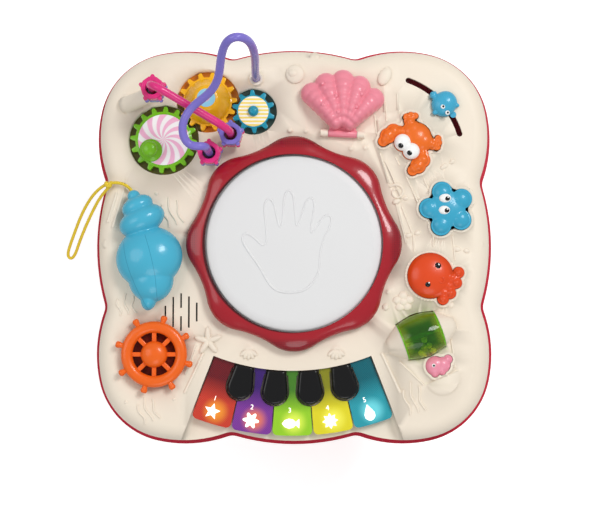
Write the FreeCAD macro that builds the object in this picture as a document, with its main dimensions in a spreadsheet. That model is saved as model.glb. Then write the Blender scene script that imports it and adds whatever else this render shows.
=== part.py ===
import FreeCAD, Part
import math
import os
from types import SimpleNamespace

from FreeCAD import Placement, Rotation, Vector

# Driving dimensions in millimetres and degrees.
# X runs to the child's right, Y to the back, Z up from the floor.
SIZES = {
    # casing and deck
    "table_width": 390,
    "side_radius": 208,
    "corner_place": 117.2,
    "corner_radius": 76,
    "flank_radius": 126,
    "flank_turn": 12.5,
    "hollow_radius": 14,
    "leg_height": 205,
    "casing_depth": 30,
    "casing_bevel": 4,
    "rim_width": 8.5,
    "rim_depth": 4,
    "deck_depth": 32,
    "deck_inset": 5,
    "shoulder_radius": 16,
    "wall": 3,
    "gap": 0.3,
    "play": 0.05,
    # legs
    "leg_place": 118,
    "leg_top_radius": 21,
    "leg_foot_radius": 17,
    "collar_radius": 24,
    "collar_height": 8,
    "spigot_radius": 16,
    "spigot_length": 18,
    "pad_height": 6,
    # drum
    "drum_hole_radius": 90,
    "ring_mean_radius": 99.5,
    "ring_wave": 3.9,
    "ring_lobes": 8,
    "ring_height": 14,
    "ring_bevel": 5,
    "ring_lip_radius": 85,
    "ring_lip_depth": 4,
    "ring_bore_radius": 88,
    "ring_skirt": 16,
    "head_radius": 84.5,
    "head_rise": 1.2,
    "head_travel": 2.5,
    "head_skirt": 12,
    # keyboard
    "fan_x": -1.5,
    "fan_y": 85.4,
    "fan_top": 207.3,
    "key_front": 269.6,
    "key_pitch": 8.5,
    "key_gap": 1.1,
    "key_count": 5,
    "key_height": 7,
    "key_drop": 4,
    "key_corner": 5,
    "key_pin_place": 186,
    "key_pin_radius": 1.5,
    "key_arm_width": 11,
    "black_arm_width": 8,
    "black_front": 240.5,
    "black_front_radius": 12.2,
    "black_rear_radius": 9.6,
    "black_rear": 212,
    "black_rise": 1.5,
    "notch_gap": 1.7,
    "well_depth": 14,
    "well_side_gap": 0.6,
    # gears
    "gear_module": 3.78,
    "green_teeth": 16,
    "yellow_teeth": 14,
    "blue_teeth": 10,
    "green_x": -126.4,
    "green_y": 101.1,
    "yellow_turn": 41.3,
    "blue_turn": -12.2,
    "gear_thickness": 7.5,
    "gear_well_depth": 10,
    "well_margin": 2,
    "axle_radius": 3,
    "knob_throw": 16,
    "knob_radius": 7.5,
    "knob_height": 17,
    "dome_height": 20,
    # rods and beads
    "rod_radius": 3.75,
    "bead_radius": 12,
    "bead_height": 20,
    "bead_bore": 6.2,
    # buttons
    "button_gap": 0.5,
    "button_travel": 1.8,
    "button_rise": 8,
    "button_flange": 1.6,
    "frame_width": 2.6,
    "frame_rise": 1.2,
    "crab_x": 117.3,
    "crab_y": 102,
    "star_x": 147.5,
    "star_y": 33.7,
    "octopus_x": 131.1,
    "octopus_y": -30.7,
    "fish_x": 138.2,
    "fish_y": -117,
    # slider
    "slot_centre": 84.6,
    "slot_radius": 79,
    "slot_width": 5.6,
    "slot_low": 16.4,
    "slot_high": 70.4,
    "slider_rest": 40,
    # roller
    "roller_x": 121.8,
    "roller_y": -88.2,
    "roller_turn": 20.2,
    "roller_length": 38.5,
    "roller_end_radius": 17.5,
    "roller_mid_radius": 21,
    "roller_rise": 1,
    "roller_wall": 1.6,
    # ship's wheel
    "wheel_x": -133.4,
    "wheel_y": -106,
    "wheel_radius": 31.5,
    "wheel_hole": 20.5,
    "wheel_hub": 12.7,
    "spoke_width": 4.4,
    "spoke_count": 8,
    "wheel_lift": 3,
    "wheel_thickness": 9,
    # shell lid
    "lid_x": 46.8,
    "lid_y": 106.2,
    "lid_turn": -2.6,
    "lid_length": 53,
    "lid_height": 24,
    "lobe_radius": 11,
    "lid_wall": 2.2,
    "hinge_radius": 3.6,
    "hinge_rise": 4.2,
    "hinge_length": 27.6,
    # conch
    "conch_x": -138.3,
    "conch_y": -12.6,
    "conch_turn": 14.5,
    "conch_radius": 33,
    # speaker and battery box
    "speaker_x": -108.6,
    "speaker_y": -65.6,
    "speaker_radius": 22,
    "grille_pitch": 7.55,
    "grille_slot": 1.7,
    "battery_y": 62,
    "battery_radius": 7.25,
    "battery_length": 50.5,
    "battery_count": 3,
}


# A number that remembers the sheet formula it comes from, so that a property can be bound to it.
class Size(float):
    def __new__(cls, value, rule=None):
        made = super().__new__(cls, value)
        made.rule = rule or repr(float(value))
        return made

    def __add__(self, other):
        return Size(float(self) + float(other), f"({self.rule} + {ruleOf(other)})")

    def __radd__(self, other):
        return Size(float(other) + float(self), f"({ruleOf(other)} + {self.rule})")

    def __sub__(self, other):
        return Size(float(self) - float(other), f"({self.rule} - {ruleOf(other)})")

    def __rsub__(self, other):
        return Size(float(other) - float(self), f"({ruleOf(other)} - {self.rule})")

    def __mul__(self, other):
        return Size(float(self) * float(other), f"({self.rule} * {ruleOf(other)})")

    __rmul__ = __mul__

    def __truediv__(self, other):
        return Size(float(self) / float(other), f"({self.rule} / {ruleOf(other)})")

    def __neg__(self):
        return Size(-float(self), f"(0 - {self.rule})")


def ruleOf(value):
    return value.rule if isinstance(value, Size) else f"({float(value)!r})"


doc = FreeCAD.newDocument("musical_activity_table")
sheet = doc.addObject("Spreadsheet::Sheet", "Sizes")
for row, (alias, number) in enumerate(SIZES.items(), 1):
    sheet.set(f"A{row}", alias)
    sheet.set(f"B{row}", str(number))
    sheet.setAlias(f"B{row}", alias)
doc.recompute()
s = SimpleNamespace(**{alias: Size(sheet.get(alias), f"Sizes.{alias}") for alias in SIZES})

# heights that the pieces share
rimTop = s.leg_height + s.casing_depth
plateau = rimTop + s.deck_depth
deckUnder = plateau - s.wall
rodFoot = plateau - 10
casingFloor = s.leg_height + s.wall
parts = {}


# give: sets properties and binds each one that comes from the sheet
def give(thing, **values):
    for name, value in values.items():
        setattr(thing, name, int(value) if name == "Occurrences" else value)
        if isinstance(value, Size):
            thing.setExpression(name, value.rule)
    return thing


# put: places a thing and binds each coordinate that comes from the sheet
def put(thing, x=0, y=0, z=0, turn=None):
    thing.Placement = Placement(Vector(x, y, z), turn or Rotation())
    for axis, value in zip("xyz", (x, y, z)):
        if isinstance(value, Size):
            thing.setExpression(f"Placement.Base.{axis}", value.rule)
    return thing


def aboutZ(angle):
    return Rotation(Vector(0, 0, 1), float(angle))


def leaning(direction):
    return Rotation(Vector(0, 0, 1), direction)


def cylinder(radius, height, x=0, y=0, z=0, turn=None):
    return put(give(doc.addObject("Part::Cylinder", "Cylinder"), Radius=radius, Height=height), x, y, z, turn)


def cone(low, high, height, x=0, y=0, z=0, turn=None):
    made = give(doc.addObject("Part::Cone", "Cone"), Radius1=low, Radius2=high, Height=height)
    return put(made, x, y, z, turn)


def prism(sides, radius, height, x=0, y=0, z=0, turn=None):
    made = give(doc.addObject("Part::Prism", "Prism"), Polygon=sides, Circumradius=radius, Height=height)
    return put(made, x, y, z, turn)


# block: a box centred on x and y, standing on z, turned about its own middle
def block(length, width, height, x=0, y=0, z=0, angle=0):
    made = give(doc.addObject("Part::Box", "Block"), Length=length, Width=width, Height=height)
    if not angle:
        return put(made, x - length / 2, y - width / 2, z)
    corner = aboutZ(angle).multVec(Vector(-length / 2, -width / 2, 0))
    return put(made, x + corner.x, y + corner.y, z, aboutZ(angle))


def join(*things):
    if len(things) == 1:
        return things[0]
    made = doc.addObject("Part::MultiFuse", "Join")
    made.Shapes = list(things)
    made.Refine = True
    return made


def cut(base, *tools):
    made = doc.addObject("Part::Cut", "Cut")
    made.Base = base
    made.Tool = join(*tools)
    made.Refine = True
    return made


def meet(*things):
    made = doc.addObject("Part::MultiCommon", "Common")
    made.Shapes = list(things)
    made.Refine = True
    return made


def group(*things):
    made = doc.addObject("Part::Compound", "Group")
    made.Links = list(things)
    return made


def drawn(curves, z=0):
    made = doc.addObject("Sketcher::SketchObject", "Outline")
    made.addGeometry(curves, False)
    return put(made, 0, 0, z)


# slab: a flat outline raised to a height
def slab(curves, z, height, taper=0):
    made = doc.addObject("Part::Extrusion", "Slab")
    made.Base = drawn(curves, z)
    made.DirMode = "Custom"
    made.Dir = Vector(0, 0, 1)
    made.Solid = True
    made.TaperAngle = taper
    return give(made, LengthFwd=height)


def lines(points):
    closed = list(points) + [points[0]]
    return [Part.LineSegment(Vector(*a), Vector(*b)) for a, b in zip(closed, closed[1:])]


def moved(curves, x=0, y=0, angle=0):
    matrix = Placement(Vector(x, y, 0), aboutZ(angle)).toMatrix()
    made = []
    for curve in curves:
        copy = curve.copy()
        copy.transform(matrix)
        made.append(copy)
    return made


def originPlane(body, role):
    return next(f for f in body.Origin.OriginFeatures if f.Role == role)


def sketchIn(body, role, curves, lift=0):
    sketch = body.newObject("Sketcher::SketchObject", "Profile")
    sketch.AttachmentSupport = (originPlane(body, role), [""])
    sketch.MapMode = "FlatFace"
    if isinstance(lift, Size):
        sketch.setExpression("AttachmentOffset.Base.z", lift.rule)
    elif lift:
        sketch.AttachmentOffset = Placement(Vector(0, 0, lift), Rotation())
    sketch.addGeometry(curves, False)
    return sketch


def padIn(body, curves, length, lift=0):
    pad = body.newObject("PartDesign::Pad", "Pad")
    pad.Profile = sketchIn(body, "XY_Plane", curves, lift)
    give(pad, Length=length)
    body.Tip = pad
    return pad


def pocketIn(body, curves, length, lift=0):
    pocket = body.newObject("PartDesign::Pocket", "Pocket")
    pocket.Profile = sketchIn(body, "XY_Plane", curves, lift)
    give(pocket, Length=length)
    body.Tip = pocket
    return pocket


def patternIn(body, features, count):
    pattern = body.newObject("PartDesign::PolarPattern", "Pattern")
    pattern.Originals = features
    pattern.Axis = (originPlane(body, "Z_Axis"), [""])
    pattern.Angle = 360
    give(pattern, Occurrences=count)
    body.Tip = pattern
    return pattern


# turned: a round solid from its half section, given as (radius, height) corners
def turned(section, x=0, y=0, z=0, turn=None):
    body = doc.addObject("PartDesign::Body", "Turned")
    corners = [(radius, height, 0) for radius, height in section]
    sketch = sketchIn(body, "XZ_Plane", lines(corners))
    spin = body.newObject("PartDesign::Revolution", "Turning")
    spin.Profile = sketch
    spin.ReferenceAxis = (sketch, ["V_Axis"])
    spin.Angle = 360
    body.Tip = spin
    return put(body, x, y, z, turn)


def circle(x, y, radius):
    return Part.Circle(Vector(x, y, 0), Vector(0, 0, 1), radius)


def edgesOf(thing, test):
    doc.recompute()
    return [i for i, edge in enumerate(thing.Shape.Edges, 1) if test(edge)]


def levelAt(height):
    return lambda edge: max(abs(v.Z - height) for v in edge.Vertexes) < 1e-4


# bevelled: the edges that lie at one height get a flat bevel
def bevelled(thing, height, size):
    made = doc.addObject("Part::Chamfer", "Bevel")
    made.Base = thing
    made.Edges = [(i, size, size) for i in edgesOf(thing, levelAt(height))]
    return made


def rounded(thing, height, radius):
    made = doc.addObject("Part::Fillet", "Round")
    made.Base = thing
    made.Edges = [(i, radius, radius) for i in edgesOf(thing, levelAt(height))]
    return made


def keep(name, thing):
    thing.Label = name
    parts[name] = thing
    return thing


def polar(radius, angle, x=0, y=0):
    turn = math.radians(angle)
    return x + radius * math.cos(turn), y + radius * math.sin(turn)


def arcThrough(a, b, c):
    return Part.Arc(Vector(*a, 0), Vector(*b, 0), Vector(*c, 0))


# table outline: a shallow lobe on each side and a round lobe at each corner, with a small hollow between them
def tableOutline(inset):
    sideX = s.table_width / 2 - s.side_radius
    flankAway = s.flank_radius - s.corner_radius
    flank = [s.corner_place - p for p in polar(flankAway, s.flank_turn)]
    reachSide = s.side_radius + s.hollow_radius
    reachFlank = s.flank_radius + s.hollow_radius
    span = math.hypot(flank[0] - sideX, flank[1])
    along = (span**2 + reachSide**2 - reachFlank**2) / (2 * span)
    away = math.sqrt(reachSide**2 - along**2)
    ux, uy = (flank[0] - sideX) / span, flank[1] / span
    hollow = (sideX + ux * along + uy * away, uy * along - ux * away)

    def toward(centre, target, radius):
        dx, dy = target[0] - centre[0], target[1] - centre[1]
        reach = math.hypot(dx, dy)
        return centre[0] + dx / reach * radius, centre[1] + dy / reach * radius

    side = (sideX, 0)
    first = toward(side, hollow, s.side_radius - inset)
    second = toward(flank, hollow, s.flank_radius - inset)
    dip = toward(hollow, ((first[0] + second[0]) / 2, (first[1] + second[1]) / 2), s.hollow_radius + inset)
    corner = (s.corner_place, s.corner_place)
    third = polar(s.corner_radius - inset, s.flank_turn, *corner)
    middle = polar(s.corner_radius - inset, 45, *corner)
    aside, ahead = (second[0] + third[0]) / 2 - flank[0], (second[1] + third[1]) / 2 - flank[1]
    bulge = math.degrees(math.atan2(ahead, aside))
    belly = polar(s.flank_radius - inset, bulge, *flank)
    over = [(p[1], p[0]) for p in (first, dip, second, belly, third)]
    quarter = [
        arcThrough((first[0], -first[1]), (s.table_width / 2 - inset, 0), first),
        arcThrough(first, dip, second),
        arcThrough(second, belly, third),
        arcThrough(third, middle, over[4]),
        arcThrough(over[4], over[3], over[2]),
        arcThrough(over[2], over[1], over[0]),
    ]
    return [curve for turn in range(4) for curve in moved(quarter, angle=90 * turn)]


def placeGear():
    green = (s.green_x, s.green_y)
    yellow = polar(s.gear_module * (s.green_teeth + s.yellow_teeth) / 2, s.yellow_turn, *green)
    blue = polar(s.gear_module * (s.yellow_teeth + s.blue_teeth) / 2, s.blue_turn, *yellow)
    return {"green": green, "yellow": yellow, "blue": blue}


gearPlace = placeGear()


# lobed: an outline made of upright round bars, each (x, y, radius), all grown by the same amount
def lobed(discs, grow, z, height, x, y, angle=0):
    bars = []
    for along, across, radius in discs:
        spot = aboutZ(angle).multVec(Vector(along, across, 0))
        bars.append(cylinder(grow + radius, height, x + spot.x, y + spot.y, z))
    return join(*bars)


# capped: lobes with a bevelled crown, the way a moulded button is rounded over
def capped(discs, z, height, crown, x, y, angle=0):
    bars = []
    for along, across, radius in discs:
        spot = aboutZ(angle).multVec(Vector(along, across, 0))
        bars.append(cylinder(radius, height - crown, x + spot.x, y + spot.y, z))
        bars.append(cone(radius, radius - 1.4 * crown, crown, x + spot.x, y + spot.y, z + height - crown))
    return join(*bars)


eyeDiscs = [(11.8, -5.6, 8.3), (11.8, 5.6, 8.3)]
crabDiscs = [(0, 0, 15.5), (-3, 7, 10), (-3, -7, 10)] + eyeDiscs
for side in (-1, 1):
    crabDiscs += [(6, 15.5 * side, 5.5), (10, 20 * side, 7), (17, 20.5 * side, 7.5), (24, 20 * side, 5)]
    crabDiscs += [(-8, 16 * side, 5.5), (-9, 21 * side, 3), (-13, 19 * side, 3), (-15.5, 15.5 * side, 3)]
starDiscs = [(0, 0, 14)] + [(*polar(17.2, 34 + 72 * k), 9.6) for k in range(5)]
octopusDiscs = [(0, 0, 21.7), (27, 2.9, 5.4), (24.8, -7, 5.4), (19.1, -16.8, 5.4), (12, -22.5, 5.4)]
octopusDiscs += [(22.5, -2, 5), (19.5, -10.5, 5), (13.5, -17.5, 5)]
fishDiscs = [(-2.6, 0.2, 9.1), (4.3, 0, 7.4), (10.4, 4.4, 4.2), (-4.2, -6.8, 3.6), (2.8, -5.9, 3.6)]
buttons = {
    "crab": (crabDiscs, s.crab_x, s.crab_y, 225),
    "star": (starDiscs, s.star_x, s.star_y, 0),
    "octopus": (octopusDiscs, s.octopus_x, s.octopus_y, 0),
    "fish": (fishDiscs, s.fish_x, s.fish_y, 10),
}
# the small board under each button hangs from two posts, given as distances along one line through the button
boardSpan = {"crab": (225, -22, 27), "star": (178, -25, 32), "octopus": (65, -29, 29), "fish": (10, -19, 20)}
stemRadius = 6
stemLength = 8
postLength = 18


def fanPoint(radius, angle):
    return polar(radius, angle - 90, s.fan_x, s.fan_y)


# wellOutline: the keyboard's recess, its sides along the fan and its rear the arc that the keys come out of
def wellOutline(grow, reach):
    rear = s.fan_top - grow
    half = s.key_pitch * s.key_count / 2
    near = half + math.degrees((grow + s.well_side_gap) / s.fan_top)
    far = half + math.degrees((grow + s.well_side_gap) / reach)
    corner = [fanPoint(rear, near), fanPoint(reach, far), fanPoint(reach, -far), fanPoint(rear, -near)]
    sides = [Part.LineSegment(Vector(*a, 0), Vector(*b, 0)) for a, b in zip(corner, corner[1:])]
    return sides + [arcThrough(corner[3], fanPoint(rear, 0), corner[0])]


def ringSector(inner, outer, low, high):
    corner = [fanPoint(inner, low), fanPoint(outer, low), fanPoint(outer, high), fanPoint(inner, high)]
    middle = (low + high) / 2
    return [
        Part.LineSegment(Vector(*corner[0], 0), Vector(*corner[1], 0)),
        arcThrough(corner[1], fanPoint(outer, middle), corner[2]),
        Part.LineSegment(Vector(*corner[2], 0), Vector(*corner[3], 0)),
        arcThrough(corner[3], fanPoint(inner, middle), corner[0]),
    ]


# slotOutline: a curved slot with round ends about the slider's own centre
def slotOutline(width, low, high):
    centre = (s.slot_centre, s.slot_centre)
    inner, outer = s.slot_radius - width / 2, s.slot_radius + width / 2
    lows = [polar(r, low, *centre) for r in (inner, s.slot_radius, outer)]
    highs = [polar(r, high, *centre) for r in (inner, s.slot_radius, outer)]
    middle = (low + high) / 2
    cap = math.degrees(width / 2 / s.slot_radius)
    return [
        arcThrough(lows[0], polar(s.slot_radius, low - cap, *centre), lows[2]),
        arcThrough(lows[2], polar(outer, middle, *centre), highs[2]),
        arcThrough(highs[2], polar(s.slot_radius, high + cap, *centre), highs[0]),
        arcThrough(highs[0], polar(inner, middle, *centre), lows[0]),
    ]


teeth = {"green": s.green_teeth, "yellow": s.yellow_teeth, "blue": s.blue_teeth}
gearTip = {name: s.gear_module * (count / 2 + 0.55) for name, count in teeth.items()}
wellRadius = {name: gearTip[name] + s.well_margin for name in teeth}
wellFloor = plateau - s.gear_well_depth
keyFloor = plateau - s.well_depth
rollerZ = plateau + s.roller_rise
rollerAxis = Vector(*polar(1, s.roller_turn), 0)
rodSockets = {"purple": [(-36.7, 160.1), (-80.6, 85.6)], "pink": [(-60.2, 103.5)]}
hornTop = (-131.8, 142.6)
screwPlaces = [(152, 152), (-152, 152), (152, -152), (-152, -152), (178, 0), (-180, 0), (20, 182)]
boardRise = 5
boardPosts = [(x, y) for x in (-50, 50) for y in (-90, -35)]
switchSlot, switchWidth, switchY, switchTravel = 16, 5, -20, 7


def deckCasing():
    outer = rounded(slab(tableOutline(s.deck_inset), rimTop, s.deck_depth), plateau, s.shoulder_radius)
    hollow = slab(tableOutline(s.deck_inset + s.wall), rimTop, s.deck_depth - s.wall)
    hollow = bevelled(hollow, deckUnder, (s.shoulder_radius - s.wall) * 0.62)
    shell = cut(outer, hollow)
    lumps = [slab(wellOutline(s.wall, s.table_width), keyFloor - s.wall, s.well_depth)]
    for name, (x, y) in gearPlace.items():
        lumps.append(cylinder(wellRadius[name] + s.wall, s.gear_well_depth, x, y, wellFloor - s.wall))
    lumps = [meet(join(*lumps), outer)]
    for discs, x, y, angle in buttons.values():
        lumps.append(lobed(discs, s.button_gap + s.frame_width, deckUnder, s.wall + s.frame_rise, x, y, angle))
    for name, (angle, *reach) in boardSpan.items():
        for away in reach:
            x, y = polar(away, angle, *buttons[name][1:3])
            lumps.append(cylinder(3.2, postLength, x, y, deckUnder - postLength))
    for x, y in [spot for spots in rodSockets.values() for spot in spots]:
        lumps.append(cone(s.rod_radius + 4.5, s.rod_radius + 2.6, 5, x, y, plateau))
        lumps.append(cylinder(s.rod_radius + 3.5, 14, x, y, plateau - 14))
    for x, y in screwPlaces:
        lumps.append(cylinder(5, deckUnder - rimTop + 1, x, y, rimTop))
    lean = Vector(hornTop[0] + 164, hornTop[1] - 134.5, 26)
    lumps.append(cone(8.5, 6.6, lean.Length, -164, 134.5, plateau - 2, leaning(lean)))
    lumps.append(cylinder(6.6, 9, *hornTop, plateau + 20))
    domes = []
    for way in (-1, 1):
        middle = rollerAxis * (way * (s.roller_length / 2 + s.gap))
        nose = cone(s.roller_end_radius, 6, 15, s.roller_x + middle.x, s.roller_y + middle.y, rollerZ,
                    leaning(rollerAxis * way))
        domes.append(nose)
    below = lines([(-200, -200, 0), (200, -200, 0), (200, 200, 0), (-200, 200, 0)])
    lumps.append(cut(join(*domes), slab(below,
                                        deckUnder - 40, 40)))
    for way in (-1, 1):
        x, y = polar(way * (s.hinge_length / 2 + s.gap + 3.5), s.lid_turn, s.lid_x, s.lid_y)
        lumps.append(block(7, 2 * s.hinge_radius, s.hinge_rise + 1, x, y, plateau - 1, s.lid_turn))
        away = way * (s.hinge_length / 2 + s.gap + 3.5) - 3.5
        hingeWay = leaning(Vector(*polar(1, s.lid_turn), 0))
        x, y = polar(away, s.lid_turn, s.lid_x, s.lid_y)
        lumps.append(cylinder(s.hinge_radius, 7, x, y, plateau + s.hinge_rise, hingeWay))
    lumps += reliefs()
    body = join(shell, *lumps)
    holes = [cylinder(s.drum_hole_radius, 12, 0, 0, deckUnder - 4)]
    holes.append(slab(wellOutline(0, s.table_width), keyFloor, s.deck_depth))
    tall = deckUnder - keyFloor + s.wall + 2
    holes.append(slab(ringSector(178, s.fan_top + 1, -21.5, 21.5), keyFloor - s.wall - 2, tall))
    for name, (x, y) in gearPlace.items():
        holes.append(cylinder(wellRadius[name], s.deck_depth, x, y, wellFloor))
        holes.append(cylinder(s.axle_radius, s.deck_depth, x, y, wellFloor - s.wall - 1))
    for discs, x, y, angle in buttons.values():
        holes.append(lobed(discs, s.button_gap, deckUnder - 1, s.deck_depth, x, y, angle))
    for x, y in [spot for spots in rodSockets.values() for spot in spots] + [hornTop]:
        low = plateau + 14 if (x, y) == hornTop else rodFoot
        holes.append(cylinder(s.rod_radius + s.play, 60, x, y, low))
    holes.append(slab(slotOutline(s.slot_width, s.slot_low, s.slot_high), deckUnder - 1, s.wall + 2))
    holes.append(turned(rollerSkin(1.0, s.roller_length / 2 + s.gap), *along(0)))
    holes.append(cylinder(s.axle_radius - 1, 52, *polar(-26, s.roller_turn, s.roller_x, s.roller_y), rollerZ,
                          leaning(rollerAxis)))
    holes.append(cylinder(s.hinge_radius - 2, 60, *polar(-30, s.lid_turn, s.lid_x, s.lid_y),
                          plateau + s.hinge_rise, leaning(Vector(*polar(1, s.lid_turn), 0))))
    for x, y in screwPlaces:
        holes.append(cylinder(1.75, 12, x, y, rimTop - 1))
    for column, rows in enumerate(([(0, 12)], [(0, 29)], [(11, 14), (-11, 14)], [(0, 30)], [(0, 18)])):
        for rise, length in rows:
            holes.append(block(s.grille_slot, length, 2 * s.wall, s.speaker_x + (column - 2) * s.grille_pitch,
                               s.speaker_y + rise, deckUnder - 1))
    holes.append(cylinder(26.4, 4, s.wheel_x, s.wheel_y, plateau - 1))
    return keep("deck_casing", cut(body, *holes))


# reliefs: the low figures moulded on the deck, such as bubbles, ribs and shells
def reliefs():
    rise = 1.6
    made = []
    for x, y, radius in ((1, 164.8, 8.6), (87.5, 163, 5.5), (-3.4, 109.4, 3), (11.6, 109.4, 3),
                         (55.1, 92.3, 3.2), (69.1, 93.3, 3.2), (90.5, -46.5, 3), (-43.5, -102, 6), (40.5, -102, 6)):
        made.append(cone(radius, radius * 0.45, rise, x, y, plateau))
    for k in range(5):
        x, y = polar(5, 20 + 72 * k, -82.4, -93.4)
        made.append(block(11, 3.4, rise, x, y, plateau - 0.5, 20 + 72 * k))
    ribs = ((87.5, 137, 18, 90), (100.5, 138, 16, 90), (81.5, 110, 20, 93), (84, 80, 44, -72),
            (96, 62, 40, -68), (103, 22, 44, -76), (-168, 40, 50, 74), (-99, -111, 30, 71))
    for x, y, length, angle in ribs:
        made.append(block(length, 1.8, rise, x, y, plateau - 0.5, angle))
    basketTurn = -65.7
    basket = cone(18.4, 15.5, 3, 142.4, -128.3, plateau)
    made.append(meet(basket, block(20, 40, 3, *polar(10, basketTurn, 142.4, -128.3), plateau, basketTurn)))
    return made


def baseCasing():
    outer = bevelled(slab(tableOutline(0), s.leg_height, s.casing_depth), s.leg_height, s.casing_bevel)
    tray = slab(tableOutline(s.wall + 1), casingFloor, s.casing_depth - s.wall - s.rim_depth)
    mouth = slab(tableOutline(s.rim_width), rimTop - s.rim_depth - 1, s.rim_depth + 2)
    shell = cut(outer, tray, mouth)
    lumps = []
    holes = []
    for x in (-s.leg_place, s.leg_place):
        for y in (-s.leg_place, s.leg_place):
            lumps.append(cylinder(s.spigot_radius + s.wall, s.spigot_length + 2, x, y, casingFloor))
            holes.append(cylinder(s.spigot_radius + s.play, s.spigot_length + 1, x, y, s.leg_height))
    for x, y in screwPlaces:
        lumps.append(cylinder(5, s.casing_depth - s.wall, x, y, casingFloor))
        holes.append(cylinder(1.8, s.casing_depth + 1, x, y, s.leg_height))
        holes.append(cylinder(3.4, 3, x, y, s.leg_height))
    wide = s.battery_length + 12
    deep = 2 * s.battery_radius * s.battery_count + 6
    lumps.append(block(wide + 2 * s.wall, deep + 2 * s.wall, 20.5, 0, s.battery_y, casingFloor))
    holes.append(block(wide, deep, 18.5, 0, s.battery_y, s.leg_height))
    holes.append(block(wide + 6, deep + 6, 2.5, 0, s.battery_y, s.leg_height))
    for x, y in boardPosts:
        lumps.append(cylinder(3, boardRise, x, y, casingFloor))
    holes.append(block(switchSlot, switchWidth + 2 * s.gap, 2 * s.wall, 0, switchY, s.leg_height - 1))
    return keep("base_casing", cut(join(shell, *lumps), *holes))


def legs():
    section = [
        (0, s.pad_height), (s.leg_foot_radius, s.pad_height),
        (s.leg_top_radius, s.leg_height - s.collar_height), (s.collar_radius, s.leg_height - s.collar_height),
        (s.collar_radius, s.leg_height), (s.spigot_radius, s.leg_height),
        (s.spigot_radius, s.leg_height + s.spigot_length), (0, s.leg_height + s.spigot_length),
    ]
    pads = []
    for row, y in (("front", -s.leg_place), ("back", s.leg_place)):
        for side, x in (("left", -s.leg_place), ("right", s.leg_place)):
            keep(f"leg_{row}_{side}", turned(section, x, y, 0))
            pads.append(cone(s.leg_foot_radius - 1, s.leg_foot_radius, s.pad_height, x, y, 0))
    keep("foot_pads", group(*pads))


def ringOutline():
    step = 180 / s.ring_lobes
    marks = [polar(s.ring_mean_radius + s.ring_wave * math.cos(math.pi * k / 2), k * step / 2)
             for k in range(-1, 4 * int(s.ring_lobes) - 1)]
    marks.append(marks[0])
    return [arcThrough(*marks[k:k + 3]) for k in range(0, len(marks) - 1, 2)]


def drum():
    top = plateau + s.ring_height
    flange = bevelled(slab(ringOutline(), plateau, s.ring_height), top, s.ring_bevel)
    skirt = cylinder(s.drum_hole_radius - s.gap / 2, s.ring_skirt, 0, 0, plateau - s.ring_skirt)
    lip = cylinder(s.ring_lip_radius, s.ring_height + 1, 0, 0, plateau)
    deep = s.ring_height + s.ring_skirt - s.ring_lip_depth
    bore = cylinder(s.ring_bore_radius, deep, 0, 0, plateau - s.ring_skirt)
    keep("drum_ring", cut(join(flange, skirt), lip, bore))
    shelf = top - s.ring_lip_depth - s.gap
    edge = s.head_radius
    catch = s.ring_bore_radius - 0.6
    floor = shelf - s.head_skirt
    thick = s.wall
    section = [
        (0, top - 3 + s.head_rise), (edge * 0.6, top - 3 + s.head_rise / 2), (edge - 2, top - 3), (edge, top - 4.2),
        (edge, shelf), (catch, shelf), (catch, shelf - 2.2), (edge, shelf - 2.2), (edge, floor),
        (edge - thick, floor), (edge - thick, shelf - thick), (0, shelf - thick),
    ]
    keep("drum_head", turned(section))
    bracketTop = plateau - s.ring_skirt
    plate = cylinder(s.drum_hole_radius - s.gap / 2, s.wall, 0, 0, bracketTop - s.wall)
    posts = [cylinder(6, 6, *polar(58, 45 + 90 * k), bracketTop) for k in range(4)]
    vents = [cylinder(16, 2 * s.wall, *polar(50, 90 * k), bracketTop - 2 * s.wall + 1) for k in range(4)]
    keep("drum_bracket", cut(join(plate, *posts), *vents))
    domeLength = shelf - thick - s.head_travel - s.gap - bracketTop - 6
    return [cylinder(4.5, domeLength, *polar(58, 45 + 90 * k), bracketTop + 6) for k in range(4)]


def keyOutline(width):
    half = s.key_pitch / 2
    inner, outer = 181.0, float(s.key_front)
    cornerAngle = math.degrees(s.key_corner / outer)
    side = half - math.degrees(s.key_gap / 2 / outer)
    foot = half - math.degrees(s.key_gap / 2 / inner)
    near = outer - s.key_corner
    points = [fanPoint(inner, -foot), fanPoint(near, -side),
              fanPoint(outer, -side + cornerAngle), fanPoint(outer, 0),
              fanPoint(outer, side - cornerAngle), fanPoint(near, side), fanPoint(inner, foot)]
    edge = s.key_corner * 0.29
    bendLeft = fanPoint(outer - edge, -side + math.degrees(edge / outer))
    bendRight = fanPoint(outer - edge, side - math.degrees(edge / outer))
    return [
        Part.LineSegment(Vector(*points[0], 0), Vector(*points[1], 0)),
        arcThrough(points[1], bendLeft, points[2]),
        arcThrough(points[2], points[3], points[4]),
        arcThrough(points[4], bendRight, points[5]),
        Part.LineSegment(Vector(*points[5], 0), Vector(*points[6], 0)),
        Part.LineSegment(Vector(*points[6], 0), Vector(*points[0], 0)),
    ]


keyTop = plateau - s.key_drop
keyBottom = keyTop - s.key_height
pinZ = keyTop - 3.5
blackAngles = [s.key_pitch * (k - 1.5) for k in range(int(s.key_count) - 1)]
keyAngles = [s.key_pitch * (k - 2) for k in range(int(s.key_count))]


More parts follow.
